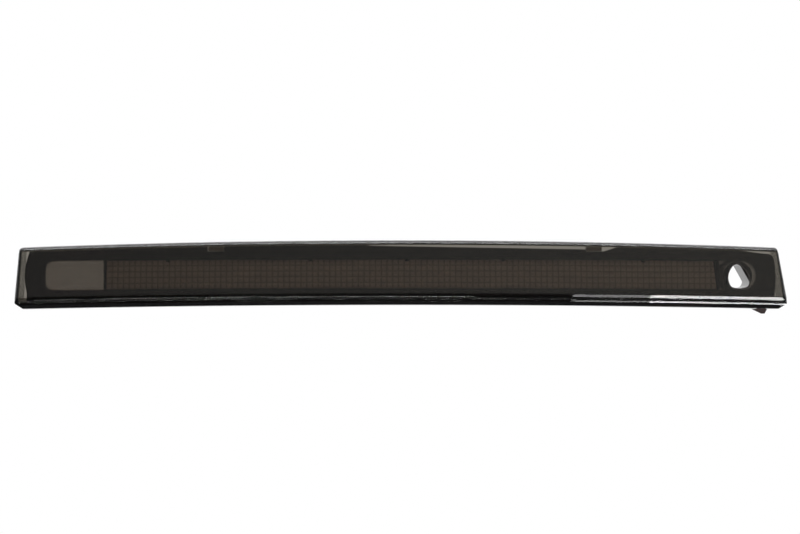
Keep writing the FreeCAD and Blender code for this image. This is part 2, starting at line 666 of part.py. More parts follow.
def make_optics():
    top, low = "window_top + optic_over", "window_low + optic_over"
    back = f"{OPTIC_FACE} - optic_wall"
    legs = [("-optic_rear", f"-({low})"),
            ("-optic_rear", f"optic_leg - ({low})"),
            (leaning(back, f"(optic_leg - ({low}))"), f"optic_leg - ({low})"),
            (leaning(back, f"({top} - optic_leg)"), f"{top} - optic_leg"),
            ("-optic_rear", f"{top} - optic_leg"),
            ("-optic_rear", top)]
    ends = tall(f"seam - {TILE_RIGHT}", STRIP_RIGHT, "strip_slant")
    keep("optic_strip", bent("strip", [optic_rows(top, low) + legs], [ends]))
    plate = [(leaning(back, f"(-({low}))"), f"-({low})"), (leaning(back, f"({top})"), top)]
    ends = tall(f"-{WINDOW_HALF} - optic_over", f"-{TILE_RIGHT} - seam")
    keep("end_optic", bent("tile", [optic_rows(top, low) + plate], [ends]))
    flat = [(leaning(OPTIC_FACE, f"({top})"), top), (leaning(OPTIC_FACE, f"(-({low}))"), f"-({low})"),
            (leaning(f"({OPTIC_FACE} - plate_thick)", f"(-({low}))"), f"-({low})"),
            (leaning(f"({OPTIC_FACE} - plate_thick)", f"({top})"), top)]
    ends = tall(f"{STRIP_RIGHT} + strip_slant + seam", f"{WINDOW_HALF} + optic_over")
    clear = bent("clear", [flat], [ends])
    cut(clear, "XZ_Plane", [(NOZZLE_X, "nozzle_z", "sleeve_round + fit")])
    keep("end_window", clear)


def seal_outline(inset):
    left, right = f"seam - {TILE_RIGHT} + {inset}", f"{STRIP_RIGHT} - {inset}"
    top, low = f"window_top + optic_over - {inset}", f"{inset} - window_low - optic_over"
    return [(left, f"{top} - window_arch * (({left}) / {WINDOW_HALF}) ^ 2", "0", top),
            (right, f"{top} - window_arch * (({right}) / {WINDOW_HALF}) ^ 2"),
            (right, f"{low} - window_arch * (({right}) / {WINDOW_HALF}) ^ 2", "0", low),
            (left, f"{low} - window_arch * (({left}) / {WINDOW_HALF}) ^ 2")]


def make_seal():
    section = rectangle("-optic_rear", "-lens_low", "seal_thick - optic_rear", "lens_top")
    keep("optic_seal", bent("seal_ring", [section], [seal_outline("0"), seal_outline("optic_leg")]))


def make_housing():
    """The tray behind the optics, with its bosses, locating pins, screw posts and holes."""
    ledge = "(window_top + optic_over - optic_leg)"
    ledge_low = "(window_low + optic_over - optic_leg)"
    seat, inner = "seal_thick - optic_rear", "tray_wall - tray_back - 2 * tray_wall"
    flange = "tray_wall - tray_front"
    top_out, low_out = "tray_top + tray_wall", "-tray_low - tray_wall"
    section = [("-tray_front", f"{top_out} + weld_wide"), (flange, f"{top_out} + weld_wide"),
               (flange, top_out), ("-tray_back", top_out),
               ("-tray_back", low_out), (flange, low_out),
               (flange, f"{low_out} - weld_wide"), ("-tray_front", f"{low_out} - weld_wide"),
               ("-tray_front", "-tray_low"), (seat, "-tray_low"),
               (seat, f"-{ledge_low}"), (f"{seat} + tray_wall", f"-{ledge_low}"),
               (f"{seat} + tray_wall", "-tray_low"), (inner, "-tray_low"),
               (inner, "tray_top"), (f"{seat} + tray_wall", "tray_top"),
               (f"{seat} + tray_wall", ledge), (seat, ledge),
               (seat, "tray_top"), ("-tray_front", "tray_top")]
    tray = bent("tray", [section], [tall(f"-{TILE_RIGHT} - tray_wall", f"{TRAY_RIGHT} + tray_wall")])
    end_section = rectangle("-tray_front", low_out, "-tray_back", top_out)
    ends = bent("tray_ends", [end_section], [tall(f"-{TILE_RIGHT} - tray_wall", f"-{TILE_RIGHT}"),
                                           tall(TRAY_RIGHT, f"{TRAY_RIGHT} + tray_wall")])
    shell = new_body("tray_fittings")
    root = "(tray_back + tray_wall / 2)"
    for side in ("-", ""):
        pad_back(shell, [(f"{side}stud_span / 2", "0", "boss_round")], "-boss_deep", "0")
        pad_back(shell, [(f"{side}pin_span / 2", "0", "pin_round")], f"-{root}", "pin_long")
    for across in board_spots():
        front = f"{bow(across)} - board_front + board_thick + seam"
        pad_back(shell, [(across, "-screw_low", "post_round")], front, f"{bow(across)} - {root}")
    whole = fuse("tray_whole", tray, ends, shell)
    keep("rear_housing", subtract("tray_drilled", whole, tray_holes()))


def tray_holes():
    """What is cut from the tray: stud seats, screw holes, the connector's opening and the breather's."""
    holes = new_body("tray_holes")
    inside = "-tray_back - 3 * tray_wall"
    for side in ("-", ""):
        spot = f"{side}stud_span / 2"
        pad_back(holes, [(spot, "0", "shoulder_round + fit")], "-boss_deep - overrun", "overrun")
        pad_back(holes, [(spot, "0", "head_round + fit")], "-boss_deep - overrun", "head_thick - boss_deep")
    for across in board_spots():
        deck = f"{bow(across)} - board_front + board_thick"
        pad_back(holes, [(across, "-screw_low", "screw_round + fit")], deck, f"{deck} + screw_long")
    pad_back(holes, [box_round("socket_x", "0", "socket_wide + 2 * fit", "socket_high + 2 * fit")],
             inside, "tray_wall")
    pad_back(holes, [("vent_x", "0", "vent_bore")], inside, "tray_wall")
    return holes


# ---- board and what it carries ----

def led_spots():
    """Evenly pitched places along the board, centred on it."""
    return [f"({BOARD_MIDDLE} + {index - (LEDS - 1) / 2} * {LED_PITCH})" for index in range(LEDS)]


def board_spots():
    return [f"({BOARD_MIDDLE} + {step} * {LED_PITCH})" for step in SCREWS]


def make_board():
    section = rectangle("-board_front", "-board_low", "board_thick - board_front", "board_top")
    holes = [(across, "-screw_low", "screw_round + 2 * fit") for across in board_spots()]
    keep("led_board", bent("board", [section], [tall(f"-{BOARD_LEFT}", BOARD_RIGHT)] + holes))
    led_section = rectangle("-board_front - led_thick", "led_up - led_size / 2",
                            "-board_front", "led_up + led_size / 2")
    dice = [box_round(across, "led_up", "led_size", "2 * led_size") for across in led_spots()]
    keep("leds", bent("led_row", [led_section], dice))


def on_back(label, outlines, thick):
    """Parts soldered to the back of the board."""
    back = "board_thick - board_front"
    section = rectangle(back, "-board_low", f"{back} + {thick}", "board_top")
    keep(label, bent(label + "_row", [section], outlines))


def make_components():
    resistors = [box_round(f"{across} - {LED_PITCH} / 4", "board_top / 2", "chip_long", "chip_wide")
                 for across in led_spots()]
    on_back("resistors", resistors, "chip_thick")
    long, wide = "1.5 * chip_long", "1.6 * chip_wide"
    diodes = [box_round(f"socket_x {sign} (socket_wide / 2 + 5 * can_round)", "-board_low / 2", long, wide)
              for sign in "+-"]
    on_back("diodes", diodes, "2 * chip_thick")
    cans = [(f"socket_x {sign} (socket_wide / 2 + 2 * can_round)", "-board_low / 2", "can_round")
            for sign in "+-"]
    on_back("capacitors", cans, "can_high")


def make_reflector():
    front, back = "-board_front - seam - cup_thick", "-board_front - seam"
    wall = "(optic_leg + seam)"
    top, low = f"(window_top + optic_over - {wall})", f"(window_low + optic_over - {wall})"
    section = [(back, f"{top} - cup_flare"), ("-cup_front", top), ("-cup_front", f"{top} - cup_thick"),
               (front, f"{top} - cup_flare - cup_thick"), (front, f"cup_flare + cup_thick - {low}"),
               ("-cup_front", f"cup_thick - {low}"), ("-cup_front", f"-{low}"),
               (back, f"cup_flare - {low}")]
    holes = [box_round(across, "led_up", "led_window", "led_window") for across in led_spots()]
    holes += [(across, "-screw_low", "screw_round + 2 * fit") for across in board_spots()]
    outline = tall(f"optic_leg + 2 * seam - {TILE_RIGHT}", f"{STRIP_RIGHT} - optic_leg - seam")
    keep("reflector", bent("cup", [section], [outline] + holes))


def make_board_screws():
    seat = "-board_front - seam - cup_thick"
    heads = bent("screw_heads", [rectangle(f"{seat} - screw_head", "-board_low", seat, "board_top")],
                 [(across, "-screw_low", "2 * screw_round") for across in board_spots()])
    tip = "board_thick - board_front + screw_long - overrun"
    shanks = bent("screw_shanks", [rectangle(f"{seat} - screw_head / 2", "-board_low", tip, "board_top")],
                  [(across, "-screw_low", "screw_round") for across in board_spots()])
    keep("board_screws", fuse("screws", heads, shanks))


# ---- back of the lamp ----

def make_studs():
    body = new_body("studs")
    for side in ("-", ""):
        spot = f"{side}stud_span / 2"
        pad_back(body, [(spot, "0", "head_round")], "-boss_deep", "head_thick - boss_deep")
        pad_back(body, [(spot, "0", "shoulder_round")], "-boss_deep", "0")
        pad_back(body, [(spot, "0", "stud_round")], "0", "stud_long")
    doc.recompute()
    base = body.Tip
    tips = [f"Edge{number}" for number, edge in enumerate(base.Shape.Edges, 1)
            if abs(middle(edge).y - size("stud_long")) < 0.01]
    feature = body.newObject("PartDesign::Chamfer", "stud_tips")
    feature.Base = (base, tips)
    feature.setExpression("Size", tied("stud_round / 4"))
    keep("mounting_studs", body)


def make_connector():
    body = new_body("socket")
    shape = box_round("socket_x", "0", "socket_wide", "socket_high")
    collar = box_round("socket_x", "0", "socket_wide + 2 * collar_wide", "socket_high + 2 * collar_wide")
    mouth = box_round("socket_x", "0", "socket_wide - 2 * socket_wall", "socket_high - 2 * socket_wall")
    deep = "-socket_front"
    pad_back(body, [shape], deep, "socket_long")
    pad_back(body, [collar], "-socket_seat", "socket_wall - socket_seat")
    pocket_back(body, [mouth], "-socket_seat", "socket_long + overrun")
    wide, high = "blade_wide + 2 * fit", "blade_thick + 2 * fit"
    slots = [box_round(f"socket_x {sign} blade_gap / 2", "0", wide, high) for sign in "+-"]
    pocket_back(body, slots, f"{deep} - overrun", "0")
    keep("connector_socket", body)
    blades = new_body("blades")
    ends = [box_round(f"socket_x {sign} blade_gap / 2", "0", "blade_wide", "blade_thick") for sign in "+-"]
    pad_back(blades, ends, "board_thick - board_front + seam", "blade_end")
    keep("contact_blades", blades)
    ring = new_body("ring")
    inner = box_round("socket_x", "0", "socket_wide + 2 * fit", "socket_high + 2 * fit")
    pad_back(ring, [collar, inner], "-socket_seat - ring_thick", "-socket_seat")
    keep("connector_seal", ring)


def make_gasket():
    section = rectangle("-tray_back", "-lens_low", "foam_thick - tray_back", "lens_top")
    outlines = [foam_outline("foam_inset"), foam_outline("(foam_inset + foam_wide)")]
    keep("panel_gasket", bent("foam", [section], outlines))


def foam_outline(inset):
    left, right = f"{inset} - {TILE_RIGHT}", f"{TRAY_RIGHT} - {inset}"
    top, low = f"tray_top + tray_wall - {inset}", f"{inset} - tray_low - tray_wall"
    return [(left, window_edge(left, top), "0", top),
            (right, window_edge(right, top)),
            (right, window_edge(right, low), "0", low),
            (left, window_edge(left, low))]


def make_breather():
    base = f"({bow('vent_x')} - tray_back + seam)"
    cap = new_body("cap")
    pad_back(cap, [("vent_x", "0", "vent_round")], base, f"{base} + vent_high")
    hollow = [("vent_x", "0", "vent_round - cap_wall")]
    pocket_back(cap, hollow, f"{base} - overrun", f"{base} + vent_high - cap_wall")
    keep("breather_cap", cap)
    skin = new_body("skin")
    pad_back(skin, [("vent_x", "0", "vent_round - cap_wall - fit")], base, f"{base} + skin_thick")
    keep("breather_membrane", skin)


def make_sleeve():
    face = "lens_front"
    top, low = "(nozzle_z + beyond / 4)", "(nozzle_z - beyond / 4)"
    deep = "lens_wall + lens_gap + bezel_wall + overrun"
    section = [(leaning(face, top), top),
               (leaning(face, low), low),
               (f"{leaning(face, low)} + {deep} + lean * beyond / 2", low),
               (f"{leaning(face, top)} + {deep}", top)]
    neck = bent("neck", [section], [tunnel("neck_wall"), tunnel("0")], SHELL)
    tube = new_body("tube")
    front = f"({bow(NOZZLE_X)} + {leaning(OPTIC_FACE, 'nozzle_z')})"
    pad_back(tube, [(NOZZLE_X, "nozzle_z", "sleeve_round"), tunnel("0")], front, "-sleeve_back")
    keep("nozzle_sleeve", fuse("sleeve", neck, tube))
    seal = new_body("seal")
    rings = [(NOZZLE_X, "nozzle_z", "sleeve_round + nozzle_seal_wall"),
             (NOZZLE_X, "nozzle_z", "sleeve_round + fit")]
    pad_back(seal, rings, "-sleeve_back - nozzle_seal_long", "overrun - sleeve_back")
    keep("nozzle_seal", seal)


def make_hook():
    hook = new_body("hook")
    left, right = f"{HOOK_X} - hook_wide / 2", f"{HOOK_X} + hook_wide / 2"
    root = "-hook_root"
    lens_back = f"({bow(right)} - lens_rim + seam)"
    outline = [(left, root), (f"{HOOK_X} + hook_wide / 8", "-hook_low"),
               (f"{HOOK_X} + hook_wide / 3", "-hook_low"),
               (right, root), (right, "-hook_top"), (left, "-hook_top")]
    pad_back(hook, [outline], lens_back, f"{lens_back} + hook_thick")
    keep("retaining_hook", hook)


def finish():
    """Checks every object, then writes each sub-part to its own file."""
    doc.recompute()
    for item in doc.Objects:
        if "Invalid" in item.State or "Error" in item.State:
            raise RuntimeError(f"{item.Label} failed: {item.State}")
    for piece in pieces:
        if piece.Shape.isNull() or not piece.Shape.isValid():
            raise RuntimeError(f"{piece.Label} has no valid shape")
    os.makedirs("parts", exist_ok=True)
    for piece in pieces:
        piece.Shape.exportStep(f"parts/{piece.Label}.step")
        print(piece.Label, len(piece.Shape.Solids), round(piece.Shape.Volume))


fill_sheet()
make_lens()
make_bezel()
make_clips()
make_adhesive()
make_optics()
make_seal()
make_housing()
make_board()
make_components()
make_reflector()
make_board_screws()
make_studs()
make_connector()
make_gasket()
make_breather()
make_sleeve()
make_hook()
finish()
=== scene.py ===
"""Third brake light: the looks of its pieces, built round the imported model.

The scene is in metres, with +Z up and +Y into the tailgate.
"""

import math

import bmesh
import bpy
from mathutils import Matrix, Vector


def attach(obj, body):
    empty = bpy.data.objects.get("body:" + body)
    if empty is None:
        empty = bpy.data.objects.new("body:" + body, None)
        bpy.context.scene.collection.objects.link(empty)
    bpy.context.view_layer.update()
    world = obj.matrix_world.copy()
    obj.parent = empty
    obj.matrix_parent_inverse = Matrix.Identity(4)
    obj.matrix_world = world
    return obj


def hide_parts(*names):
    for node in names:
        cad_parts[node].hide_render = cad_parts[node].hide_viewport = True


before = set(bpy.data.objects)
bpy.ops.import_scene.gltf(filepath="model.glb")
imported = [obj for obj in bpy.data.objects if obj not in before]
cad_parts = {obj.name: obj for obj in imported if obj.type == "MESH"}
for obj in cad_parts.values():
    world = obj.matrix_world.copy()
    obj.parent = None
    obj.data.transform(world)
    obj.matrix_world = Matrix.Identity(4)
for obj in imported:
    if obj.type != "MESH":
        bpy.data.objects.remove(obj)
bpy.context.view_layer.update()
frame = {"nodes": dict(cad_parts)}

bl_info = {
    "name": "Third Brake Light",
    "version": (1, 0, 0),
    "blender": (4, 5, 0),
    "location": "View3D > Sidebar > Brake Light",
    "description": "Builds a smoked high-level brake light piece by piece",
    "category": "Object",
}

# Pieces are shaped straight and in millimetres, then bent, and MM takes them to the scene's metres.
MM = 0.001
BODY = "root"

# How far back and down from the origin the axes lie about which the shell and the light unit are bent.
SHELL = (2880.0, 835.0)
UNIT = (3072.0, 393.0)

HALF = 250.0  # half of the lens's length
TOP = 21.0  # the lens's top above the origin, and its sole below it
FRONT = 38.0  # how far the face's foot stands ahead of the origin
CHIN = 13.0  # how far the face's foot lies below the origin
LEAN = 0.131  # how far the face leans back for each millimetre of height
RIM = 12.0  # how far the lens's back rim stands ahead of the origin
ARC_TURN = 0.28  # about how far each step of a rounded corner turns, in radians

# The tunnel's middle and half size in front view, and its outline as shares of that half size, from its
# narrow top round by the left.
NOZZLE = (218.0, -2.2)
TUNNEL_HALF = (6.9, 7.8)
TUNNEL = ((-0.22, 1.0), (-0.56, 0.83), (-0.88, 0.38), (-1.0, -0.08), (-0.93, -0.55), (-0.72, -0.86),
          (-0.38, -0.98), (0.0, -1.0), (0.36, -0.99), (0.62, -0.94), (0.80, -0.87), (0.89, -0.76),
          (0.965, -0.61), (0.98, -0.43), (0.93, -0.11), (0.80, 0.23), (0.55, 0.58), (0.17, 0.86),
          (-0.03, 0.96))


class LampSizes(bpy.types.PropertyGroup):
    """Sizes that shape the lamp's visible pieces."""

    lens_wall: bpy.props.FloatProperty(
        name="Lens Wall", description="Wall of the outer lens",
        default=0.0025, min=0.001, max=0.005, precision=5, unit="LENGTH")
    brow_radius: bpy.props.FloatProperty(
        name="Brow Radius", description="Rounding between the lens's top and face",
        default=0.0026, min=0.001, max=0.005, precision=5, unit="LENGTH")
    end_radius: bpy.props.FloatProperty(
        name="End Radius", description="Rounding of the lens's ends in plan",
        default=0.0032, min=0.003, max=0.006, precision=5, unit="LENGTH")
    optic_columns: bpy.props.IntProperty(
        name="Optic Columns", description="Pillows in one row of the main strip",
        default=107, min=10, max=300)
    optic_height: bpy.props.FloatProperty(
        name="Pillow Height", description="How far each pillow stands out",
        default=0.0009, min=0.0, max=0.0015, precision=5, unit="LENGTH")
    thread_pitch: bpy.props.FloatProperty(
        name="Thread Pitch", description="Pitch of the studs' thread",
        default=0.0008, min=0.0005, max=0.0015, precision=5, unit="LENGTH")


class LampFinishes(bpy.types.PropertyGroup):
    """Colours and finishes of the lamp's materials."""

    smoke: bpy.props.FloatVectorProperty(
        name="Smoke Tint", description="Tint that the lens gives at its surfaces",
        default=(0.80, 0.79, 0.765), size=3, subtype="COLOR", min=0.0, max=1.0)
    smoke_depth: bpy.props.FloatVectorProperty(
        name="Smoke Depth", description="Colour that the lens's thickness gives to the light that passes",
        default=(0.50, 0.48, 0.44), size=3, subtype="COLOR", min=0.0, max=1.0)
    black: bpy.props.FloatVectorProperty(
        name="Bezel Black", description="Colour of the bezel",
        default=(0.006, 0.006, 0.005), size=3, subtype="COLOR", min=0.0, max=1.0)
    clip: bpy.props.FloatVectorProperty(
        name="Clip Tan", description="Colour of the bezel's clips",
        default=(0.30, 0.26, 0.22), size=3, subtype="COLOR", min=0.0, max=1.0)
    reflector: bpy.props.FloatVectorProperty(
        name="Reflector", description="Colour of the reflector behind the optics",
        default=(0.82, 0.72, 0.64), size=3, subtype="COLOR", min=0.0, max=1.0)


def size(name):
    """One of the lamp's sizes, in millimetres."""
    return getattr(bpy.context.scene.lamp_sizes, name) / MM


def finishes():
    return bpy.context.scene.lamp_finishes


# ---- mesh helpers ----

def face_y(up, front=FRONT):
    """Y of a leaning face at a height, for a face whose foot stands this far ahead."""
    return LEAN * (up + CHIN) - front


def round_corners(corners):
    """A line through corners (y, z, radius), with each corner rounded to its radius."""
    points = []
    for before, corner, after in zip([corners[0]] + corners[:-1], corners, corners[1:] + [corners[-1]]):
        spot, radius = Vector(corner[:2]), corner[2]
        if radius == 0:
            points.append(spot)
            continue
        inward = (Vector(before[:2]) - spot).normalized()
        outward = (Vector(after[:2]) - spot).normalized()
        half = inward.angle(outward) / 2
        reach = radius / math.tan(half)
        centre = spot + (inward + outward).normalized() * radius / math.sin(half)
        first, last = spot + inward * reach - centre, spot + outward * reach - centre
        turned = first.angle_signed(last)
        steps = max(1, round(abs(turned) / ARC_TURN))
        for step in range(steps + 1):
            points.append(centre + Matrix.Rotation(-turned * step / steps, 2) @ first)
    return points


def extrude_profile(points, half, columns):
    """A bar along X with this closed cross-section, cut into columns."""
    bm = bmesh.new()
    loop = [bm.verts.new((-half, y, z)) for y, z in points]
    edges = [bm.edges.new(pair) for pair in zip(loop, loop[1:] + loop[:1])]
    swept = bmesh.ops.extrude_edge_only(bm, edges=edges)
    moved = [item for item in swept["geom"] if isinstance(item, bmesh.types.BMVert)]
    bmesh.ops.translate(bm, verts=moved, vec=(2 * half, 0, 0))
    long_edges = [edge for edge in bm.edges if abs(edge.verts[0].co.x - edge.verts[1].co.x) > half]
    bmesh.ops.subdivide_edges(bm, edges=long_edges, cuts=columns - 1, use_grid_fill=True)
    return bm


def slice_at(bm, spot, normal, clear=False):
    """Cuts the mesh by a plane. With clear, what lies beyond goes, and the hole it leaves is closed."""
    geom = bm.verts[:] + bm.edges[:] + bm.faces[:]
    bmesh.ops.bisect_plane(bm, geom=geom, dist=1e-5, plane_co=spot, plane_no=normal, clear_outer=clear)
    if clear:
        close_holes(bm)


def close_holes(bm):
    edges = [edge for edge in bm.edges if edge.is_boundary]
    bmesh.ops.holes_fill(bm, edges=edges, sides=0)


def bend(bm, axis):
    """Bends a straight piece about the far axis and leaves each point's X as it is."""
    back, down = axis
    reach = math.hypot(back, down)
    for vert in bm.verts:
        x, y, z = vert.co
        radius = ((back - y) * back + (z + down) * down) / reach
        drop = radius - math.sqrt(radius * radius - x * x)
        vert.co = (x, y + drop * back / reach, z - drop * down / reach)


def new_object(bm, name, scale=1.0):
    """Makes an object of a mesh, whose points are scaled first."""
    bmesh.ops.scale(bm, vec=(scale, scale, scale), verts=bm.verts)
    mesh = bpy.data.meshes.new(name)
    bm.to_mesh(mesh)
    bm.free()
    piece = bpy.data.objects.new(name, mesh)
    bpy.context.scene.collection.objects.link(piece)
    return piece


def finish_piece(bm, name, material, replaces=(), sharp=32.0):
    """Turns a mesh in millimetres into a finished piece that rides on the lamp."""
    piece = new_object(bm, name, MM)
    dress(piece, material, sharp)
    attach(piece, BODY)
    if replaces:
        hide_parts(*replaces)
    return piece


def dress(piece, material, sharp=32.0):
    """Gives a piece its one material, and smooth shading up to the sharp angle in degrees."""
    piece.data.materials.clear()
    piece.data.materials.append(material)
    shade(piece.data, sharp)


def shade(mesh, sharp):
    mesh.shade_smooth()
    mesh.set_sharp_from_angle(angle=math.radians(sharp))


def tunnel_loop(grow):
    """The nozzle tunnel's outline in front view, grown all round."""
    wide, high = TUNNEL_HALF[0] + grow, TUNNEL_HALF[1] + grow
    return [(NOZZLE[0] + across * wide, NOZZLE[1] + up * high) for across, up in TUNNEL]


def prism(outline, front, back):
    """An object for cutting: an outline in front view, carried from front to back."""
    bm = bmesh.new()
    face = bm.faces.new([bm.verts.new((x, front, z)) for x, z in outline])
    swept = bmesh.ops.extrude_face_region(bm, geom=[face])
    moved = [item for item in swept["geom"] if isinstance(item, bmesh.types.BMVert)]
    bmesh.ops.translate(bm, verts=moved, vec=(0, back - front, 0))
    bmesh.ops.recalc_face_normals(bm, faces=bm.faces)
    return new_object(bm, "cutter", MM)


def keep_result(piece):
    """Puts what a piece's modifiers make of it in the place of its mesh."""
    bpy.context.view_layer.update()
    shaped = piece.evaluated_get(bpy.context.evaluated_depsgraph_get())
    mesh = bpy.data.meshes.new_from_object(shaped)
    piece.modifiers.clear()
    old = piece.data
    piece.data = mesh
    mesh.name = piece.name
    bpy.data.meshes.remove(old)


def cut_out(piece, cutter, sharp):
    """Takes the cutter's shape out of a piece."""
    modifier = piece.modifiers.new("opening", "BOOLEAN")
    modifier.operation = "DIFFERENCE"
    modifier.solver = "EXACT"
    modifier.object = cutter
    keep_result(piece)
    bpy.data.objects.remove(cutter)
    shade(piece.data, sharp)


def even_normals(piece):
    """Turns each wide flat band's normals square to it, so that reflected lines keep straight."""
    modifier = piece.modifiers.new("even", "WEIGHTED_NORMAL")
    modifier.weight = 100
    modifier.keep_sharp = True
    keep_result(piece)


# ---- materials ----

def new_group(name, outputs, inputs):
    """An empty shader group: outputs and inputs are (name, socket type, default)."""
    group = bpy.data.node_groups.new(name, "ShaderNodeTree")
    for label, kind, default in inputs:
        socket = group.interface.new_socket(label, in_out="INPUT", socket_type=kind)
        if default is not None:
            socket.default_value = default
    for label, kind in outputs:
        group.interface.new_socket(label, in_out="OUTPUT", socket_type=kind)
    return group, group.nodes.new("NodeGroupInput"), group.nodes.new("NodeGroupOutput")


def add(nodes, kind, **values):
    """A node with its settings: each is a property, or an input's name with underscores for spaces."""
    node = nodes.new(kind)
    for name, value in values.items():
        if hasattr(node, name):
            setattr(node, name, value)
        else:
            node.inputs[name.replace("_", " ")].default_value = value
    return node


def moulding_group():
    """Moulded plastic: a fine grain in the height, and slow drifts in roughness and tone."""
    group = bpy.data.node_groups.get("Moulding")
    if group:
        return group
    group, given, result = new_group(
        "Moulding",
        [("Color", "NodeSocketColor"), ("Roughness", "NodeSocketFloat"), ("Height", "NodeSocketFloat")],
        [("Color", "NodeSocketColor", None), ("Roughness", "NodeSocketFloat", 0.4),
         ("Grain Scale", "NodeSocketFloat", 900.0), ("Variation", "NodeSocketFloat", 0.1)])
    nodes, links = group.nodes, group.links
    place = add(nodes, "ShaderNodeTexCoord")
    grain = add(nodes, "ShaderNodeTexNoise", Detail=4.0, Roughness=0.6)
    links.new(place.outputs["Object"], grain.inputs["Vector"])
    links.new(given.outputs["Grain Scale"], grain.inputs["Scale"])
    drift = add(nodes, "ShaderNodeTexNoise", Scale=38.0, Detail=3.0)
    links.new(place.outputs["Object"], drift.inputs["Vector"])
    centred = add(nodes, "ShaderNodeMath", operation="SUBTRACT")
    links.new(drift.outputs["Fac"], centred.inputs[0])
    centred.inputs[1].default_value = 0.5
    amount = add(nodes, "ShaderNodeMath", operation="MULTIPLY")
    links.new(centred.outputs[0], amount.inputs[0])
    links.new(given.outputs["Variation"], amount.inputs[1])
    rough = add(nodes, "ShaderNodeMath", operation="ADD", use_clamp=True)
    links.new(given.outputs["Roughness"], rough.inputs[0])
    links.new(amount.outputs[0], rough.inputs[1])
    shade = add(nodes, "ShaderNodeMath", operation="ADD")
    shade.inputs[0].default_value = 1.0
    links.new(amount.outputs[0], shade.inputs[1])
    tone = add(nodes, "ShaderNodeVectorMath", operation="SCALE")
    links.new(given.outputs["Color"], tone.inputs[0])
    links.new(shade.outputs[0], tone.inputs["Scale"])
    links.new(tone.outputs[0], result.inputs["Color"])
    links.new(rough.outputs[0], result.inputs["Roughness"])
    links.new(grain.outputs["Fac"], result.inputs["Height"])
    return group


def scuff_group():
    """Fine scuffs and settled dust: a mask that is stronger on surfaces that face up."""
    group = bpy.data.node_groups.get("Dust")
    if group:
        return group
    group, given, result = new_group(
        "Dust", [("Mask", "NodeSocketFloat")],
        [("Amount", "NodeSocketFloat", 0.2), ("Scale", "NodeSocketFloat", 260.0)])
    nodes, links = group.nodes, group.links
    place = add(nodes, "ShaderNodeTexCoord")
    specks = add(nodes, "ShaderNodeTexNoise", Detail=6.0, Roughness=0.7)
    links.new(place.outputs["Object"], specks.inputs["Vector"])
    links.new(given.outputs["Scale"], specks.inputs["Scale"])
    steep = add(nodes, "ShaderNodeMapRange", From_Min=0.52, From_Max=0.78)
    links.new(specks.outputs["Fac"], steep.inputs["Value"])
    shape = add(nodes, "ShaderNodeNewGeometry")
    axes = add(nodes, "ShaderNodeSeparateXYZ")
    links.new(shape.outputs["Normal"], axes.inputs[0])
    facing = add(nodes, "ShaderNodeMapRange", From_Min=-0.4, From_Max=1.0, To_Min=0.25, To_Max=1.0)
    links.new(axes.outputs["Z"], facing.inputs["Value"])
    both = add(nodes, "ShaderNodeMath", operation="MULTIPLY")
    links.new(steep.outputs["Result"], both.inputs[0])
    links.new(facing.outputs["Result"], both.inputs[1])
    mask = add(nodes, "ShaderNodeMath", operation="MULTIPLY", use_clamp=True)
    links.new(both.outputs[0], mask.inputs[0])
    links.new(given.outputs["Amount"], mask.inputs[1])
    links.new(mask.outputs[0], result.inputs["Mask"])
    return group


def plastic(name, color, roughness, grain, bump, variation=0.12, metallic=0.0, dust=0.1):
    """A moulded, stamped or plated surface, with its grain's scale and its bump's height in millimetres."""
    material = bpy.data.materials.new(name)
    material.use_nodes = True
    nodes, links = material.node_tree.nodes, material.node_tree.links
    shader = nodes["Principled BSDF"]
    shader.inputs["Metallic"].default_value = metallic
    moulding = add(nodes, "ShaderNodeGroup")
    moulding.node_tree = moulding_group()
    moulding.inputs["Color"].default_value = (*color, 1.0)
    moulding.inputs["Roughness"].default_value = roughness
    moulding.inputs["Grain Scale"].default_value = grain
    moulding.inputs["Variation"].default_value = variation
    specks = add(nodes, "ShaderNodeGroup")
    specks.node_tree = scuff_group()
    specks.inputs["Amount"].default_value = dust
    mix = add(nodes, "ShaderNodeMix", data_type="RGBA")
    links.new(specks.outputs["Mask"], mix.inputs["Factor"])
    links.new(moulding.outputs["Color"], mix.inputs["A"])
    mix.inputs["B"].default_value = (0.42, 0.40, 0.37, 1.0)
    links.new(mix.outputs["Result"], shader.inputs["Base Color"])
    links.new(moulding.outputs["Roughness"], shader.inputs["Roughness"])
    relief = add(nodes, "ShaderNodeBump", Strength=1.0, Distance=bump * MM)
    links.new(moulding.outputs["Height"], relief.inputs["Height"])
    links.new(relief.outputs["Normal"], shader.inputs["Normal"])
    return material


def clear_plastic(name, color, roughness, bump, scale, absorbed=None, density=0.0):
    """A clear or smoked moulding, with the faint waviness of its mould and what its thickness absorbs."""
    material = bpy.data.materials.new(name)
    material.use_nodes = True
    nodes, links = material.node_tree.nodes, material.node_tree.links
    shader = nodes["Principled BSDF"]
    shader.inputs["Transmission Weight"].default_value = 1.0
    shader.inputs["IOR"].default_value = 1.49
    moulding = add(nodes, "ShaderNodeGroup")
    moulding.node_tree = moulding_group()
    moulding.inputs["Color"].default_value = (*color, 1.0)
    moulding.inputs["Roughness"].default_value = roughness
    moulding.inputs["Grain Scale"].default_value = scale
    moulding.inputs["Variation"].default_value = 0.03
    links.new(moulding.outputs["Color"], shader.inputs["Base Color"])
    links.new(moulding.outputs["Roughness"], shader.inputs["Roughness"])
    relief = add(nodes, "ShaderNodeBump", Strength=1.0, Distance=bump * MM)
    links.new(moulding.outputs["Height"], relief.inputs["Height"])
    links.new(relief.outputs["Normal"], shader.inputs["Normal"])
    if absorbed:
        depth = add(nodes, "ShaderNodeVolumeAbsorption", Density=density)
        depth.inputs["Color"].default_value = (*absorbed, 1.0)
        links.new(depth.outputs["Volume"], nodes["Material Output"].inputs["Volume"])
    return material


# ---- outer lens ----

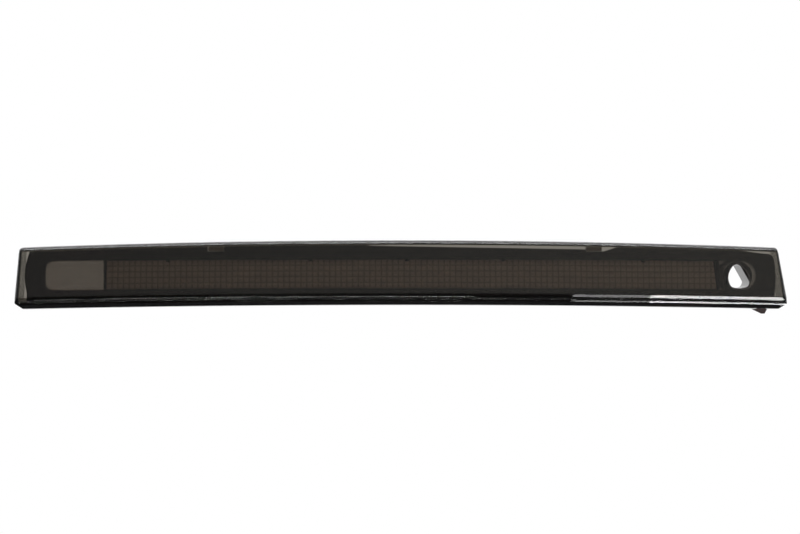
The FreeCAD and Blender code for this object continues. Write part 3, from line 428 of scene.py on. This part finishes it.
LENS_COLUMNS = 96
END_STEP = 15  # degrees of an end's rounding between two cuts
CORNER_HEIGHT = -16.7  # where the cut off each lower corner begins
CORNER_SLOPE = 0.72
SHOULDER = 12.0  # above this height the rounded ends also fall
EDGE_FALL = 1.8  # how far the top edge falls towards the ends
EDGE_FOOT, EDGE_RISE = 8.0, 10.0  # where that fall begins, and the height over which it grows
EDGE_REACH = 245.0
CURVE_START, CURVE_LENGTH = 215.0, 35.0  # where along the lens the ends' inset grows
CURVE_FOOT = -19.0
LENS_HOLE = 0.9  # how far the lens's hole lies outside the tunnel's outline
LENS_SHARP = 28.0  # its edges that turn further than this, in degrees, stay sharp
SMOKE_DENSITY = 1130.0

# An end's inset is square * up ** 2 + slope * up + middle, for the right end (1) and the left end (-1).
END_CURVES = {1: (0.0034, 0.126, 1.2), -1: (0.0012, 0.055, 0.6)}

# The chin from the face's foot to the sole, as corners (y, z, radius): a bead, a groove and a second bead.
CHIN_CORNERS = [
    (-FRONT, -CHIN, 1.3), (-37.70, -13.9, 0.8), (-37.37, -14.95, 0.25), (-37.20, -15.25, 0.15),
    (-36.30, -15.45, 0.2), (-36.20, -16.55, 0.2), (-37.10, -16.75, 0.12), (-36.95, -17.05, 0.2),
    (-36.65, -18.0, 0.2), (-34.3, -20.5, 1.0), (-25.0, -TOP, 4.0), (-RIM, -TOP, 0)]


def share_of(value, start, length):
    """How far a value has come along a stretch, from 0 to 1."""
    return min(max((value - start) / length, 0.0), 1.0)


def end_inset(up, side):
    """How far the lens's right (1) or left (-1) end lies inside its half length, by height."""
    square, slope, middle = END_CURVES[side]
    return square * up * up + slope * up + middle if up > CURVE_FOOT else 0.0


def lens_volume(points, half, radius, top, low):
    """The lens's outside or inside, open at its back rim, still straight."""
    bm = extrude_profile(points, half, LENS_COLUMNS)
    for angle in range(END_STEP, 91, END_STEP):
        station = half - radius * (1 - math.cos(math.radians(angle)))
        for side in (1, -1):
            slice_at(bm, (side * station, 0, 0), (1, 0, 0))
    close_holes(bm)
    for side in (1, -1):
        slice_at(bm, (side * half, 0, CORNER_HEIGHT * low), (side * CORNER_SLOPE, 0, -1), clear=True)
    foremost = min(y for y, z in points)
    for vert in bm.verts:
        x, y, z = vert.co
        near = half - abs(x)
        if near < radius:
            offset = radius - math.sqrt(max(radius ** 2 - (radius - near) ** 2, 0.0))
            vert.co.y = max(y, face_y(z, -foremost) + offset)
            vert.co.z -= offset * share_of(z, SHOULDER, top - SHOULDER)
        vert.co.z -= EDGE_FALL * (x / EDGE_REACH) ** 2 * share_of(z, EDGE_FOOT, EDGE_RISE)
        side = 1 if x > 0 else -1
        vert.co.x -= side * end_inset(z, side) * share_of(abs(x), CURVE_START, CURVE_LENGTH) ** 2
    back = [face for face in bm.faces if all(abs(vert.co.y + RIM) < 1e-3 for vert in face.verts)]
    bmesh.ops.delete(bm, geom=back, context="FACES")
    bmesh.ops.recalc_face_normals(bm, faces=bm.faces)
    return bm


def outside_profile():
    return round_corners([(-RIM, TOP, 0), (face_y(TOP), TOP, size("brow_radius"))] + CHIN_CORNERS)


def inside_profile(wall):
    high = TOP - wall
    return round_corners([
        (-RIM, high, 0), (face_y(high, FRONT - wall), high, 0.8), (wall - FRONT, -CHIN, 1.5),
        (-32.3, -16.6, 1.5), (-25.0, -high, 2.0), (-RIM, -high, 0)])


class LAMP_OT_outer_lens(bpy.types.Operator):
    """Outer lens: a smoked shell with a rounded brow, a chin of two beads and rounded ends"""

    bl_idname = "lamp.outer_lens"
    bl_label = "Outer Lens"

    def execute(self, context):
        wall = size("lens_wall")
        radius = size("end_radius")
        bm = lens_volume(outside_profile(), HALF, radius, TOP, 1.0)
        inner = lens_volume(inside_profile(wall), HALF - wall, radius - wall, TOP - wall, 0.93)
        bmesh.ops.reverse_faces(inner, faces=inner.faces)
        spare = bpy.data.meshes.new("spare")
        inner.to_mesh(spare)
        inner.free()
        bm.from_mesh(spare)
        bpy.data.meshes.remove(spare)
        rims = [edge for edge in bm.edges if edge.is_boundary]
        bmesh.ops.bridge_loops(bm, edges=rims)
        bend(bm, SHELL)
        tint, depth = finishes().smoke, finishes().smoke_depth
        smoke = clear_plastic("Smoked Lens", tint, 0.02, 0.0002, 45.0, depth, SMOKE_DENSITY)
        lens = finish_piece(bm, "smoked_lens", smoke, ("outer_lens",), LENS_SHARP)
        cut_out(lens, prism(tunnel_loop(LENS_HOLE), -60.0, 10.0), LENS_SHARP)
        even_normals(lens)
        return {"FINISHED"}


# ---- bezel and clips ----

class LAMP_OT_bezel(bpy.types.Operator):
    """Bezel: the gloss black frame behind the lens, and its bead of adhesive"""

    bl_idname = "lamp.bezel"
    bl_label = "Bezel"

    def execute(self, context):
        gloss = plastic("Gloss Black", finishes().black, 0.12, 500.0, 0.002, 0.04, dust=0.02)
        dress(frame["nodes"]["bezel"], gloss)
        dress(frame["nodes"]["lens_adhesive"], plastic("Adhesive", (0.02, 0.02, 0.02), 0.6, 300.0, 0.15))
        return {"FINISHED"}


class LAMP_OT_bezel_clips(bpy.types.Operator):
    """Bezel clips: three tan tabs at the bezel's top edge"""

    bl_idname = "lamp.bezel_clips"
    bl_label = "Bezel Clips"

    def execute(self, context):
        dress(frame["nodes"]["bezel_clips"], plastic("Clip Tan", finishes().clip, 0.45, 700.0, 0.03))
        return {"FINISHED"}


# ---- light unit ----

OPTIC_FRONT = 32.4
OPTIC_WALL = 2.4
LEG_BACK = -22.5  # Y of the back of the legs above and below the main strip
LEG_START = 9.4  # how far from the strip's middle height a leg begins
ROWS = 5
ROW_TOP = 8.7
ROW_PITCH = 3.74
COLUMN_PITCH = 3.69
EDGE_MARGIN = 1.5  # plain edge above and below the pillows
PILLOW_STEPS = 4  # faces along each side of a pillow
STRIP = (-190.7, 203.0)
TILE = (-231.5, -191.3)
TILE_COLUMNS, TILE_PILLOWS = 11, 3
# The painted groove shade of the tile's columns stops at this X.
TILE_COLUMN_END = -0.2205  # where the tile's column grooves end, in metres
SLANT_REACH = 12.0  # length of the main strip's right end over which its edge slants


def pillow_heights():
    """Heights of the grid's lines, from the upper plain edge to the lower one."""
    count = ROWS * PILLOW_STEPS
    lines = [ROW_TOP - ROWS * ROW_PITCH * step / count for step in range(count + 1)]
    return [lines[0] + EDGE_MARGIN] + lines + [lines[-1] - EDGE_MARGIN]


def optic_block(ends, columns, pillow_columns, height, legs, slant=0.0):
    """A block of pillow optics between two ends. Columns past pillow_columns carry plain ribs."""
    left, right = ends
    bm = bmesh.new()
    steps = columns * PILLOW_STEPS
    rows = ROWS * PILLOW_STEPS + 2
    bmesh.ops.create_grid(bm, x_segments=steps, y_segments=rows, size=0.5)
    heights = pillow_heights()
    for vert in bm.verts:
        column = round((vert.co.x + 0.5) * steps)
        row = rows - round((vert.co.y + 0.5) * rows)
        up = heights[row]
        across = left + (right - left) * column / steps
        across -= slant * up / 20.0 * max(0.0, (across - right + SLANT_REACH) / SLANT_REACH)
        along = (column % PILLOW_STEPS) / PILLOW_STEPS
        tall = ((row - 1) % PILLOW_STEPS) / PILLOW_STEPS
        bulge = 0.0
        if 1 <= row <= rows - 1:
            bulge = height * 4 * tall * (1 - tall)
            if column <= pillow_columns * PILLOW_STEPS:
                bulge *= 0.25 + 0.75 * 4 * along * (1 - along)
        vert.co = (across, face_y(up, OPTIC_FRONT) - bulge + height / 2, up)
    front = bm.faces[:]
    swept = bmesh.ops.extrude_face_region(bm, geom=front)
    moved = [item for item in swept["geom"] if isinstance(item, bmesh.types.BMVert)]
    for vert in moved:
        vert.co.y = face_y(vert.co.z, OPTIC_FRONT - OPTIC_WALL)
    if legs:
        back = [item for item in swept["geom"] if isinstance(item, bmesh.types.BMFace)]
        middle = ROW_TOP - ROWS * ROW_PITCH / 2
        ledges = [face for face in back if abs(face.calc_center_median().z - middle) > LEG_START]
        legs_made = bmesh.ops.extrude_face_region(bm, geom=ledges)
        for item in legs_made["geom"]:
            if isinstance(item, bmesh.types.BMVert):
                item.co.y = LEG_BACK
        bmesh.ops.delete(bm, geom=ledges, context="FACES")
    bmesh.ops.recalc_face_normals(bm, faces=bm.faces)
    bend(bm, UNIT)
    return bm


def groove_shade_group():
    """Painted shade in the grooves between the pillows: a mask from the place, with the strip's bend taken
    out.
    """
    group, given, result = new_group(
        "Painted Groove Shade", [("Mask", "NodeSocketFloat")],
        [("Column", "NodeSocketFloat", COLUMN_PITCH * MM), ("Row", "NodeSocketFloat", ROW_PITCH * MM),
         ("Top", "NodeSocketFloat", ROW_TOP * MM), ("Bend", "NodeSocketFloat", 0.0205),
         ("Column End", "NodeSocketFloat", 1.0)])
    nodes, links = group.nodes, group.links
    place = add(nodes, "ShaderNodeTexCoord")
    axes = add(nodes, "ShaderNodeSeparateXYZ")
    links.new(place.outputs["Object"], axes.inputs[0])

    def step(operation, first, second):
        node = add(nodes, "ShaderNodeMath", operation=operation)
        for socket, value in zip(node.inputs, (first, second)):
            if isinstance(value, float):
                socket.default_value = value
            else:
                links.new(value, socket)
        return node.outputs[0]

    square = step("MULTIPLY", axes.outputs["X"], axes.outputs["X"])
    rise = step("MULTIPLY", square, given.outputs["Bend"])
    up = step("SUBTRACT", step("ADD", axes.outputs["Z"], rise), given.outputs["Top"])
    across = step("ADD", axes.outputs["X"], -STRIP[0] * MM)
    edges = []
    for place_along, pitch in ((across, "Column"), (up, "Row")):
        share = step("DIVIDE", place_along, given.outputs[pitch])
        edges.append(step("ABSOLUTE", step("SUBTRACT", step("FRACT", share, 0.0), 0.5), 0.0))
    ended = step("LESS_THAN", axes.outputs["X"], given.outputs["Column End"])
    near = step("MAXIMUM", step("MULTIPLY", edges[0], ended), edges[1])
    mask = add(nodes, "ShaderNodeMapRange", interpolation_type="SMOOTHSTEP", From_Min=0.28, From_Max=0.5)
    links.new(near, mask.inputs["Value"])
    links.new(mask.outputs["Result"], result.inputs["Mask"])
    return group


def pillow_plastic(name, color, roughness, depth, column_end=1.0):
    """Clear moulding with painted shade mixed into its colour along the grooves, as deep as the given
    depth, up to 1.
    """
    material = clear_plastic(name, color, roughness, 0.002, 80.0)
    nodes, links = material.node_tree.nodes, material.node_tree.links
    grooves = add(nodes, "ShaderNodeGroup")
    grooves.node_tree = bpy.data.node_groups.get("Painted Groove Shade") or groove_shade_group()
    grooves.inputs["Column End"].default_value = column_end
    moulding = next(node for node in nodes if node.type == "GROUP" and node.node_tree.name == "Moulding")
    mix = add(nodes, "ShaderNodeMix", data_type="RGBA")
    shade = add(nodes, "ShaderNodeMath", operation="MULTIPLY")
    links.new(grooves.outputs["Mask"], shade.inputs[0])
    shade.inputs[1].default_value = depth
    links.new(shade.outputs[0], mix.inputs["Factor"])
    links.new(moulding.outputs["Color"], mix.inputs["A"])
    # The darker colour painted into the grooves as shade.
    mix.inputs["B"].default_value = (0.30, 0.24, 0.21, 1.0)
    links.new(mix.outputs["Result"], nodes["Principled BSDF"].inputs["Base Color"])
    return material


class LAMP_OT_optics(bpy.types.Operator):
    """Optics: the main strip of pillow optics, the end tile and the clear end plate"""

    bl_idname = "lamp.optics"
    bl_label = "Optics"

    def execute(self, context):
        # The last number of each pillow moulding is how deep its painted groove shade goes.
        clear = pillow_plastic("Clear Optic", (1.0, 0.82, 0.75), 0.12, 0.4)
        clear.node_tree.nodes["Principled BSDF"].inputs["Transmission Weight"].default_value = 0.35
        tinted = pillow_plastic("Tile Optic", (0.34, 0.31, 0.285), 0.08, 0.75, TILE_COLUMN_END)
        shaded = clear_plastic("Shaded Plate", (0.26, 0.245, 0.23), 0.05, 0.002, 80.0)
        columns = context.scene.lamp_sizes.optic_columns
        strip = optic_block(STRIP, columns, columns, size("optic_height"), True, 2.2)
        finish_piece(strip, "pillow_strip", clear, ("optic_strip",), sharp=40.0)
        tile = optic_block(TILE, TILE_COLUMNS, TILE_PILLOWS, size("optic_height"), False)
        finish_piece(tile, "ribbed_tile", tinted, ("end_optic",), sharp=40.0)
        dress(frame["nodes"]["end_window"], shaded)
        return {"FINISHED"}


class LAMP_OT_light_unit(bpy.types.Operator):
    """Light unit: the reflector, the seal, the board and what is soldered and screwed to it"""

    bl_idname = "lamp.light_unit"
    bl_label = "Light Unit"

    def execute(self, context):
        nodes = frame["nodes"]
        dress(nodes["reflector"], plastic("Reflector", finishes().reflector, 0.35, 400.0, 0.02))
        dress(nodes["optic_seal"], plastic("Silicone", (0.50, 0.43, 0.38), 0.6, 500.0, 0.05))
        dress(nodes["led_board"], plastic("Board", (0.60, 0.55, 0.48), 0.4, 1500.0, 0.01))
        dress(nodes["leds"], plastic("LED Package", (0.74, 0.66, 0.52), 0.3, 1500.0, 0.01))
        dress(nodes["resistors"], plastic("Chip Ceramic", (0.04, 0.04, 0.045), 0.5, 1500.0, 0.01))
        dress(nodes["diodes"], plastic("Chip Black", (0.02, 0.02, 0.02), 0.5, 1500.0, 0.01))
        can = plastic("Capacitor Can", (0.75, 0.75, 0.76), 0.3, 900.0, 0.01, metallic=1.0)
        dress(nodes["capacitors"], can)
        zinc = plastic("Zinc Screw", (0.62, 0.62, 0.60), 0.35, 900.0, 0.02, metallic=1.0)
        dress(nodes["board_screws"], zinc)
        return {"FINISHED"}


# ---- nozzle tunnel ----

LINER_BACK = -2.95
LINER_PROUD = 0.15  # how far the liner's rim stands out of the lens's face
LINER_INSIDE, LINER_OUTSIDE = -0.05, 0.8  # how far its walls lie outside the tunnel's outline


def tube_piece(outer, inner, front, back):
    """A tube between two outlines of equally many points. Its front is a function of the place."""
    bm = bmesh.new()
    rims = []
    for outline in (outer, inner):
        loop = [bm.verts.new((x, front(x, z), z)) for x, z in outline]
        rims += [bm.edges.new(pair) for pair in zip(loop, loop[1:] + loop[:1])]
    bmesh.ops.bridge_loops(bm, edges=rims)
    swept = bmesh.ops.extrude_face_region(bm, geom=bm.faces[:])
    for item in swept["geom"]:
        if isinstance(item, bmesh.types.BMVert):
            item.co.y = back
    bmesh.ops.recalc_face_normals(bm, faces=bm.faces)
    return bm


class LAMP_OT_nozzle_sleeve(bpy.types.Operator):
    """Nozzle sleeve: the lined tunnel for the washer nozzle, with its rear seal"""

    bl_idname = "lamp.nozzle_sleeve"
    bl_label = "Nozzle Sleeve"

    def execute(self, context):
        inside = smooth_loop(tunnel_loop(LINER_INSIDE))
        outside = smooth_loop(tunnel_loop(LINER_OUTSIDE))
        bm = tube_piece(outside, inside, tunnel_front, LINER_BACK)
        material = plastic("Sleeve", (0.02, 0.017, 0.016), 0.16, 600.0, 0.004)
        finish_piece(bm, "tunnel_liner", material)
        dress(frame["nodes"]["nozzle_sleeve"], material)
        dress(frame["nodes"]["nozzle_seal"], plastic("Seal Rubber", (0.02, 0.02, 0.02), 0.7, 500.0, 0.05))
        return {"FINISHED"}


def tunnel_front(x, z):
    """Y of the liner's front rim on the bent lens."""
    drop = x * x / 2 / (SHELL[0] ** 2 + SHELL[1] ** 2)
    return face_y(z + drop * SHELL[1]) + drop * SHELL[0] - LINER_PROUD


def smooth_loop(points, cuts=4):
    """More points along a closed outline, on a smooth curve through the given ones."""
    count = len(points)
    smooth = []
    for index in range(count):
        a, b, c, d = (Vector(points[(index + step) % count]) for step in (-1, 0, 1, 2))
        for cut in range(cuts):
            t = cut / cuts
            smooth.append(0.5 * (2 * b + (c - a) * t + (2 * a - 5 * b + 4 * c - d) * t * t
                                 + (3 * b - a - 3 * c + d) * t ** 3))
    return [(point.x, point.y) for point in smooth]


# ---- back of the lamp ----

class LAMP_OT_housing(bpy.types.Operator):
    """Rear housing, its foam gasket, breather, connector and hook"""

    bl_idname = "lamp.housing"
    bl_label = "Rear Housing"

    def execute(self, context):
        nodes = frame["nodes"]
        dress(nodes["rear_housing"], plastic("Housing", (0.035, 0.035, 0.036), 0.5, 1100.0, 0.05))
        dress(nodes["panel_gasket"], plastic("Foam", (0.04, 0.04, 0.04), 0.9, 700.0, 0.4))
        connector = plastic("Connector", (0.03, 0.03, 0.032), 0.4, 900.0, 0.03)
        dress(nodes["connector_socket"], connector)
        dress(nodes["breather_cap"], connector)
        dress(nodes["breather_membrane"], plastic("Membrane", (0.8, 0.8, 0.79), 0.8, 1500.0, 0.05))
        dress(nodes["connector_seal"], bpy.data.materials["Seal Rubber"])
        brass = plastic("Blade Brass", (0.78, 0.62, 0.32), 0.3, 900.0, 0.01, metallic=1.0)
        dress(nodes["contact_blades"], brass)
        dress(nodes["retaining_hook"], plastic("Hook", (0.032, 0.016, 0.015), 0.45, 700.0, 0.03, dust=0.02))
        return {"FINISHED"}


# A stud's radii, and the places of its parts along Y.
STUD_PLACE = 150.0
HEAD, NECK = 4.5, 3.0
HEAD_FRONT, HEAD_BACK = -11.0, -8.0
THREAD_ROOT, THREAD_CREST = 2.1, 2.5
THREAD_START, THREAD_LENGTH = 0.4, 16.5
STUD_TIP = 18.0


class LAMP_OT_studs(bpy.types.Operator):
    """Mounting studs: pressed heads, plain shoulders and threaded ends"""

    bl_idname = "lamp.studs"
    bl_label = "Mounting Studs"

    def execute(self, context):
        steel = plastic("Zinc Stud", (0.62, 0.62, 0.60), 0.33, 900.0, 0.02, metallic=1.0)
        pitch = size("thread_pitch")
        chamfer = 0.3
        points = [(HEAD_FRONT, 0.0), (HEAD_FRONT, HEAD - chamfer), (HEAD_FRONT + chamfer, HEAD),
                  (HEAD_BACK - chamfer, HEAD), (HEAD_BACK, HEAD - chamfer), (HEAD_BACK, NECK),
                  (0.0, NECK), (0.0, THREAD_ROOT)]
        for turn in range(int(THREAD_LENGTH / pitch)):
            start = THREAD_START + turn * pitch
            points += [(start, THREAD_ROOT), (start + 0.3 * pitch, THREAD_CREST),
                       (start + 0.5 * pitch, THREAD_CREST), (start + 0.8 * pitch, THREAD_ROOT)]
        points += [(STUD_TIP - 2 * chamfer, THREAD_ROOT), (STUD_TIP, 1.6), (STUD_TIP, 0.0)]
        bm = bmesh.new()
        for side in (-STUD_PLACE, STUD_PLACE):
            line = [bm.verts.new((side + radius, y, 0.0)) for y, radius in points]
            edges = [bm.edges.new(pair) for pair in zip(line, line[1:])]
            bmesh.ops.spin(bm, geom=line + edges, cent=(side, 0, 0), axis=(0, 1, 0), angle=2 * math.pi,
                           steps=32, use_merge=True)
        bmesh.ops.remove_doubles(bm, verts=bm.verts, dist=1e-4)
        bmesh.ops.recalc_face_normals(bm, faces=bm.faces)
        finish_piece(bm, "threaded_studs", steel, ("mounting_studs",), sharp=25.0)
        return {"FINISHED"}


# ---- stage ----

FLOOR_SIZE = (2.4, 1.0)
FLOOR_PLACE = (0.0, 0.3, -0.34)
FLOOR_WHITE = (0.9, 0.9, 0.9, 1.0)
FLOOR_MIRRORED = (0.15, 0.15, 0.15, 1.0)

# Each light's name, place, aim, width, height and power. The low ones draw the bright lines on the chin.
LIGHTS = (
    ("low_right", (0.37, -0.43, -0.31), (0.23, -0.038, -0.015), 0.19, 0.12, 1.25),
    ("low_middle", (0.245, -0.46, -0.33), (0.15, -0.038, -0.015), 0.10, 0.12, 0.16),
    ("low_centre", (-0.05, -0.20, -0.30), (-0.05, -0.038, -0.015), 0.24, 0.05, 0.28),
    ("low_left", (-0.245, -0.20, -0.30), (-0.21, -0.038, -0.015), 0.15, 0.05, 0.08),
    ("key", (0.0, -0.9, 1.1), (0, 0, 0), 1.5, 0.5, 12.0))

CAMERA_AIM = Vector((0.0, -0.033, 0.0))
CAMERA_DISTANCE = 1.35
CAMERA_TURN = math.radians(-1.2)
CAMERA_LENS = 94.4
CAMERA_SHIFT = (-0.003, 0.007375)


def floor_material():
    """White, and darker where it is mirrored in the lamp's gloss."""
    material = bpy.data.materials.new("Floor White")
    material.use_nodes = True
    nodes, links = material.node_tree.nodes, material.node_tree.links
    shader = nodes["Principled BSDF"]
    path = add(nodes, "ShaderNodeLightPath")
    tone = add(nodes, "ShaderNodeMix", data_type="RGBA")
    links.new(path.outputs["Is Glossy Ray"], tone.inputs["Factor"])
    tone.inputs["A"].default_value = FLOOR_WHITE
    tone.inputs["B"].default_value = FLOOR_MIRRORED
    links.new(tone.outputs["Result"], shader.inputs["Base Color"])
    shader.inputs["Roughness"].default_value = 0.9
    return material


def build_floor():
    bm = bmesh.new()
    bmesh.ops.create_grid(bm, x_segments=2, y_segments=2, size=0.5)
    bmesh.ops.scale(bm, vec=(*FLOOR_SIZE, 1.0), verts=bm.verts)
    bmesh.ops.translate(bm, verts=bm.verts, vec=FLOOR_PLACE)
    floor = new_object(bm, "floor")
    floor.data.materials.append(floor_material())


def area_light(name, spot, aim, wide, high, power):
    data = bpy.data.lights.new(name, "AREA")
    data.shape = "RECTANGLE"
    data.size, data.size_y = wide, high
    data.energy = power
    light = bpy.data.objects.new(name, data)
    bpy.context.scene.collection.objects.link(light)
    light.location = spot
    light.rotation_euler = (Vector(aim) - Vector(spot)).to_track_quat("-Z", "Y").to_euler()
    light.visible_camera = False


def build_camera():
    data = bpy.data.cameras.new("camera")
    data.sensor_width = 36.0
    data.lens = CAMERA_LENS
    data.shift_x, data.shift_y = CAMERA_SHIFT
    camera = bpy.data.objects.new("camera", data)
    bpy.context.scene.collection.objects.link(camera)
    away = Vector((math.sin(CAMERA_TURN), -math.cos(CAMERA_TURN), 0.0)) * CAMERA_DISTANCE
    camera.location = CAMERA_AIM + away
    camera.rotation_euler = (-away).to_track_quat("-Z", "Y").to_euler()
    bpy.context.scene.camera = camera


def build_world():
    """A bright back and sky, a dim front, a dark floor side, and more for light that enters the lens."""
    world = bpy.data.worlds.new("Studio")
    bpy.context.scene.world = world
    world.use_nodes = True
    nodes, links = world.node_tree.nodes, world.node_tree.links

    def ramp(value, start, end, low, high):
        """A smooth rise of the strength while a value goes from start to end."""
        node = add(nodes, "ShaderNodeMapRange", interpolation_type="SMOOTHSTEP",
                   From_Min=start, From_Max=end, To_Max=high)
        links.new(value, node.inputs["Value"])
        put(low, node.inputs["To Min"])
        return node.outputs["Result"]

    def put(value, socket):
        if isinstance(value, float):
            socket.default_value = value
        else:
            links.new(value, socket)

    def choose(factor, otherwise, chosen):
        """The chosen value where the factor is 1."""
        node = add(nodes, "ShaderNodeMix", data_type="FLOAT")
        links.new(factor, node.inputs["Factor"])
        put(otherwise, node.inputs["A"])
        put(chosen, node.inputs["B"])
        return node.outputs["Result"]

    def combine(operation, first, second):
        node = add(nodes, "ShaderNodeMath", operation=operation)
        links.new(first, node.inputs[0])
        links.new(second, node.inputs[1])
        return node.outputs[0]

    place = add(nodes, "ShaderNodeTexCoord")
    axes = add(nodes, "ShaderNodeSeparateXYZ")
    links.new(place.outputs["Generated"], axes.inputs[0])
    x, y, z = axes.outputs
    path = add(nodes, "ShaderNodeLightPath").outputs
    entering = path["Is Transmission Ray"]

    front = choose(entering, ramp(x, -0.4, 0.3, 0.28, 0.40), ramp(x, -0.4, 0.4, 1.5, 3.2))
    level = combine("MAXIMUM", ramp(y, -0.25, 0.1, front, 1.0), ramp(z, 0.38, 0.62, 0.0, 2.8))
    floor_side = combine("MAXIMUM", ramp(z, -0.35, -0.05, 0.25, 1.0), entering)
    mirrored = combine("MAXIMUM", path["Is Glossy Ray"], entering)
    strength = choose(mirrored, 0.6, combine("MULTIPLY", level, floor_side))
    plain = choose(path["Is Camera Ray"], strength, 1.0)
    background = nodes["Background"]
    background.inputs["Color"].default_value = (1.0, 1.0, 1.0, 1.0)
    links.new(plain, background.inputs["Strength"])


class LAMP_OT_stage(bpy.types.Operator):
    """Stage: a pale floor, plain soft lights, the world and the camera"""

    bl_idname = "lamp.stage"
    bl_label = "Stage"

    def execute(self, context):
        build_floor()
        build_world()
        for light in LIGHTS:
            area_light(*light)
        build_camera()
        context.scene.view_settings.view_transform = "Standard"
        return {"FINISHED"}


class LAMP_PT_panel(bpy.types.Panel):
    """Lists the lamp's pieces and sizes"""

    bl_label = "Brake Light"
    bl_idname = "LAMP_PT_panel"
    bl_space_type = "VIEW_3D"
    bl_region_type = "UI"
    bl_category = "Brake Light"

    def draw(self, context):
        for group in (context.scene.lamp_sizes, context.scene.lamp_finishes):
            for name in group.bl_rna.properties.keys():
                if name not in ("rna_type", "name"):
                    self.layout.prop(group, name)
        for step in STEPS:
            self.layout.operator(step.bl_idname)


STEPS = (LAMP_OT_outer_lens, LAMP_OT_bezel, LAMP_OT_bezel_clips, LAMP_OT_optics, LAMP_OT_light_unit,
         LAMP_OT_nozzle_sleeve, LAMP_OT_housing, LAMP_OT_studs, LAMP_OT_stage)
CLASSES = (LampSizes, LampFinishes) + STEPS + (LAMP_PT_panel,)


def register():
    for item in CLASSES:
        bpy.utils.register_class(item)
    bpy.types.Scene.lamp_sizes = bpy.props.PointerProperty(type=LampSizes)
    bpy.types.Scene.lamp_finishes = bpy.props.PointerProperty(type=LampFinishes)


def unregister():
    del bpy.types.Scene.lamp_finishes
    del bpy.types.Scene.lamp_sizes
    for item in reversed(CLASSES):
        bpy.utils.unregister_class(item)


def main():
    register()
    bpy.ops.lamp.outer_lens()
    bpy.ops.lamp.bezel()
    bpy.ops.lamp.bezel_clips()
    bpy.ops.lamp.optics()
    bpy.ops.lamp.light_unit()
    bpy.ops.lamp.nozzle_sleeve()
    bpy.ops.lamp.housing()
    bpy.ops.lamp.studs()
    bpy.ops.lamp.stage()


if __name__ == "__main__":
    main()
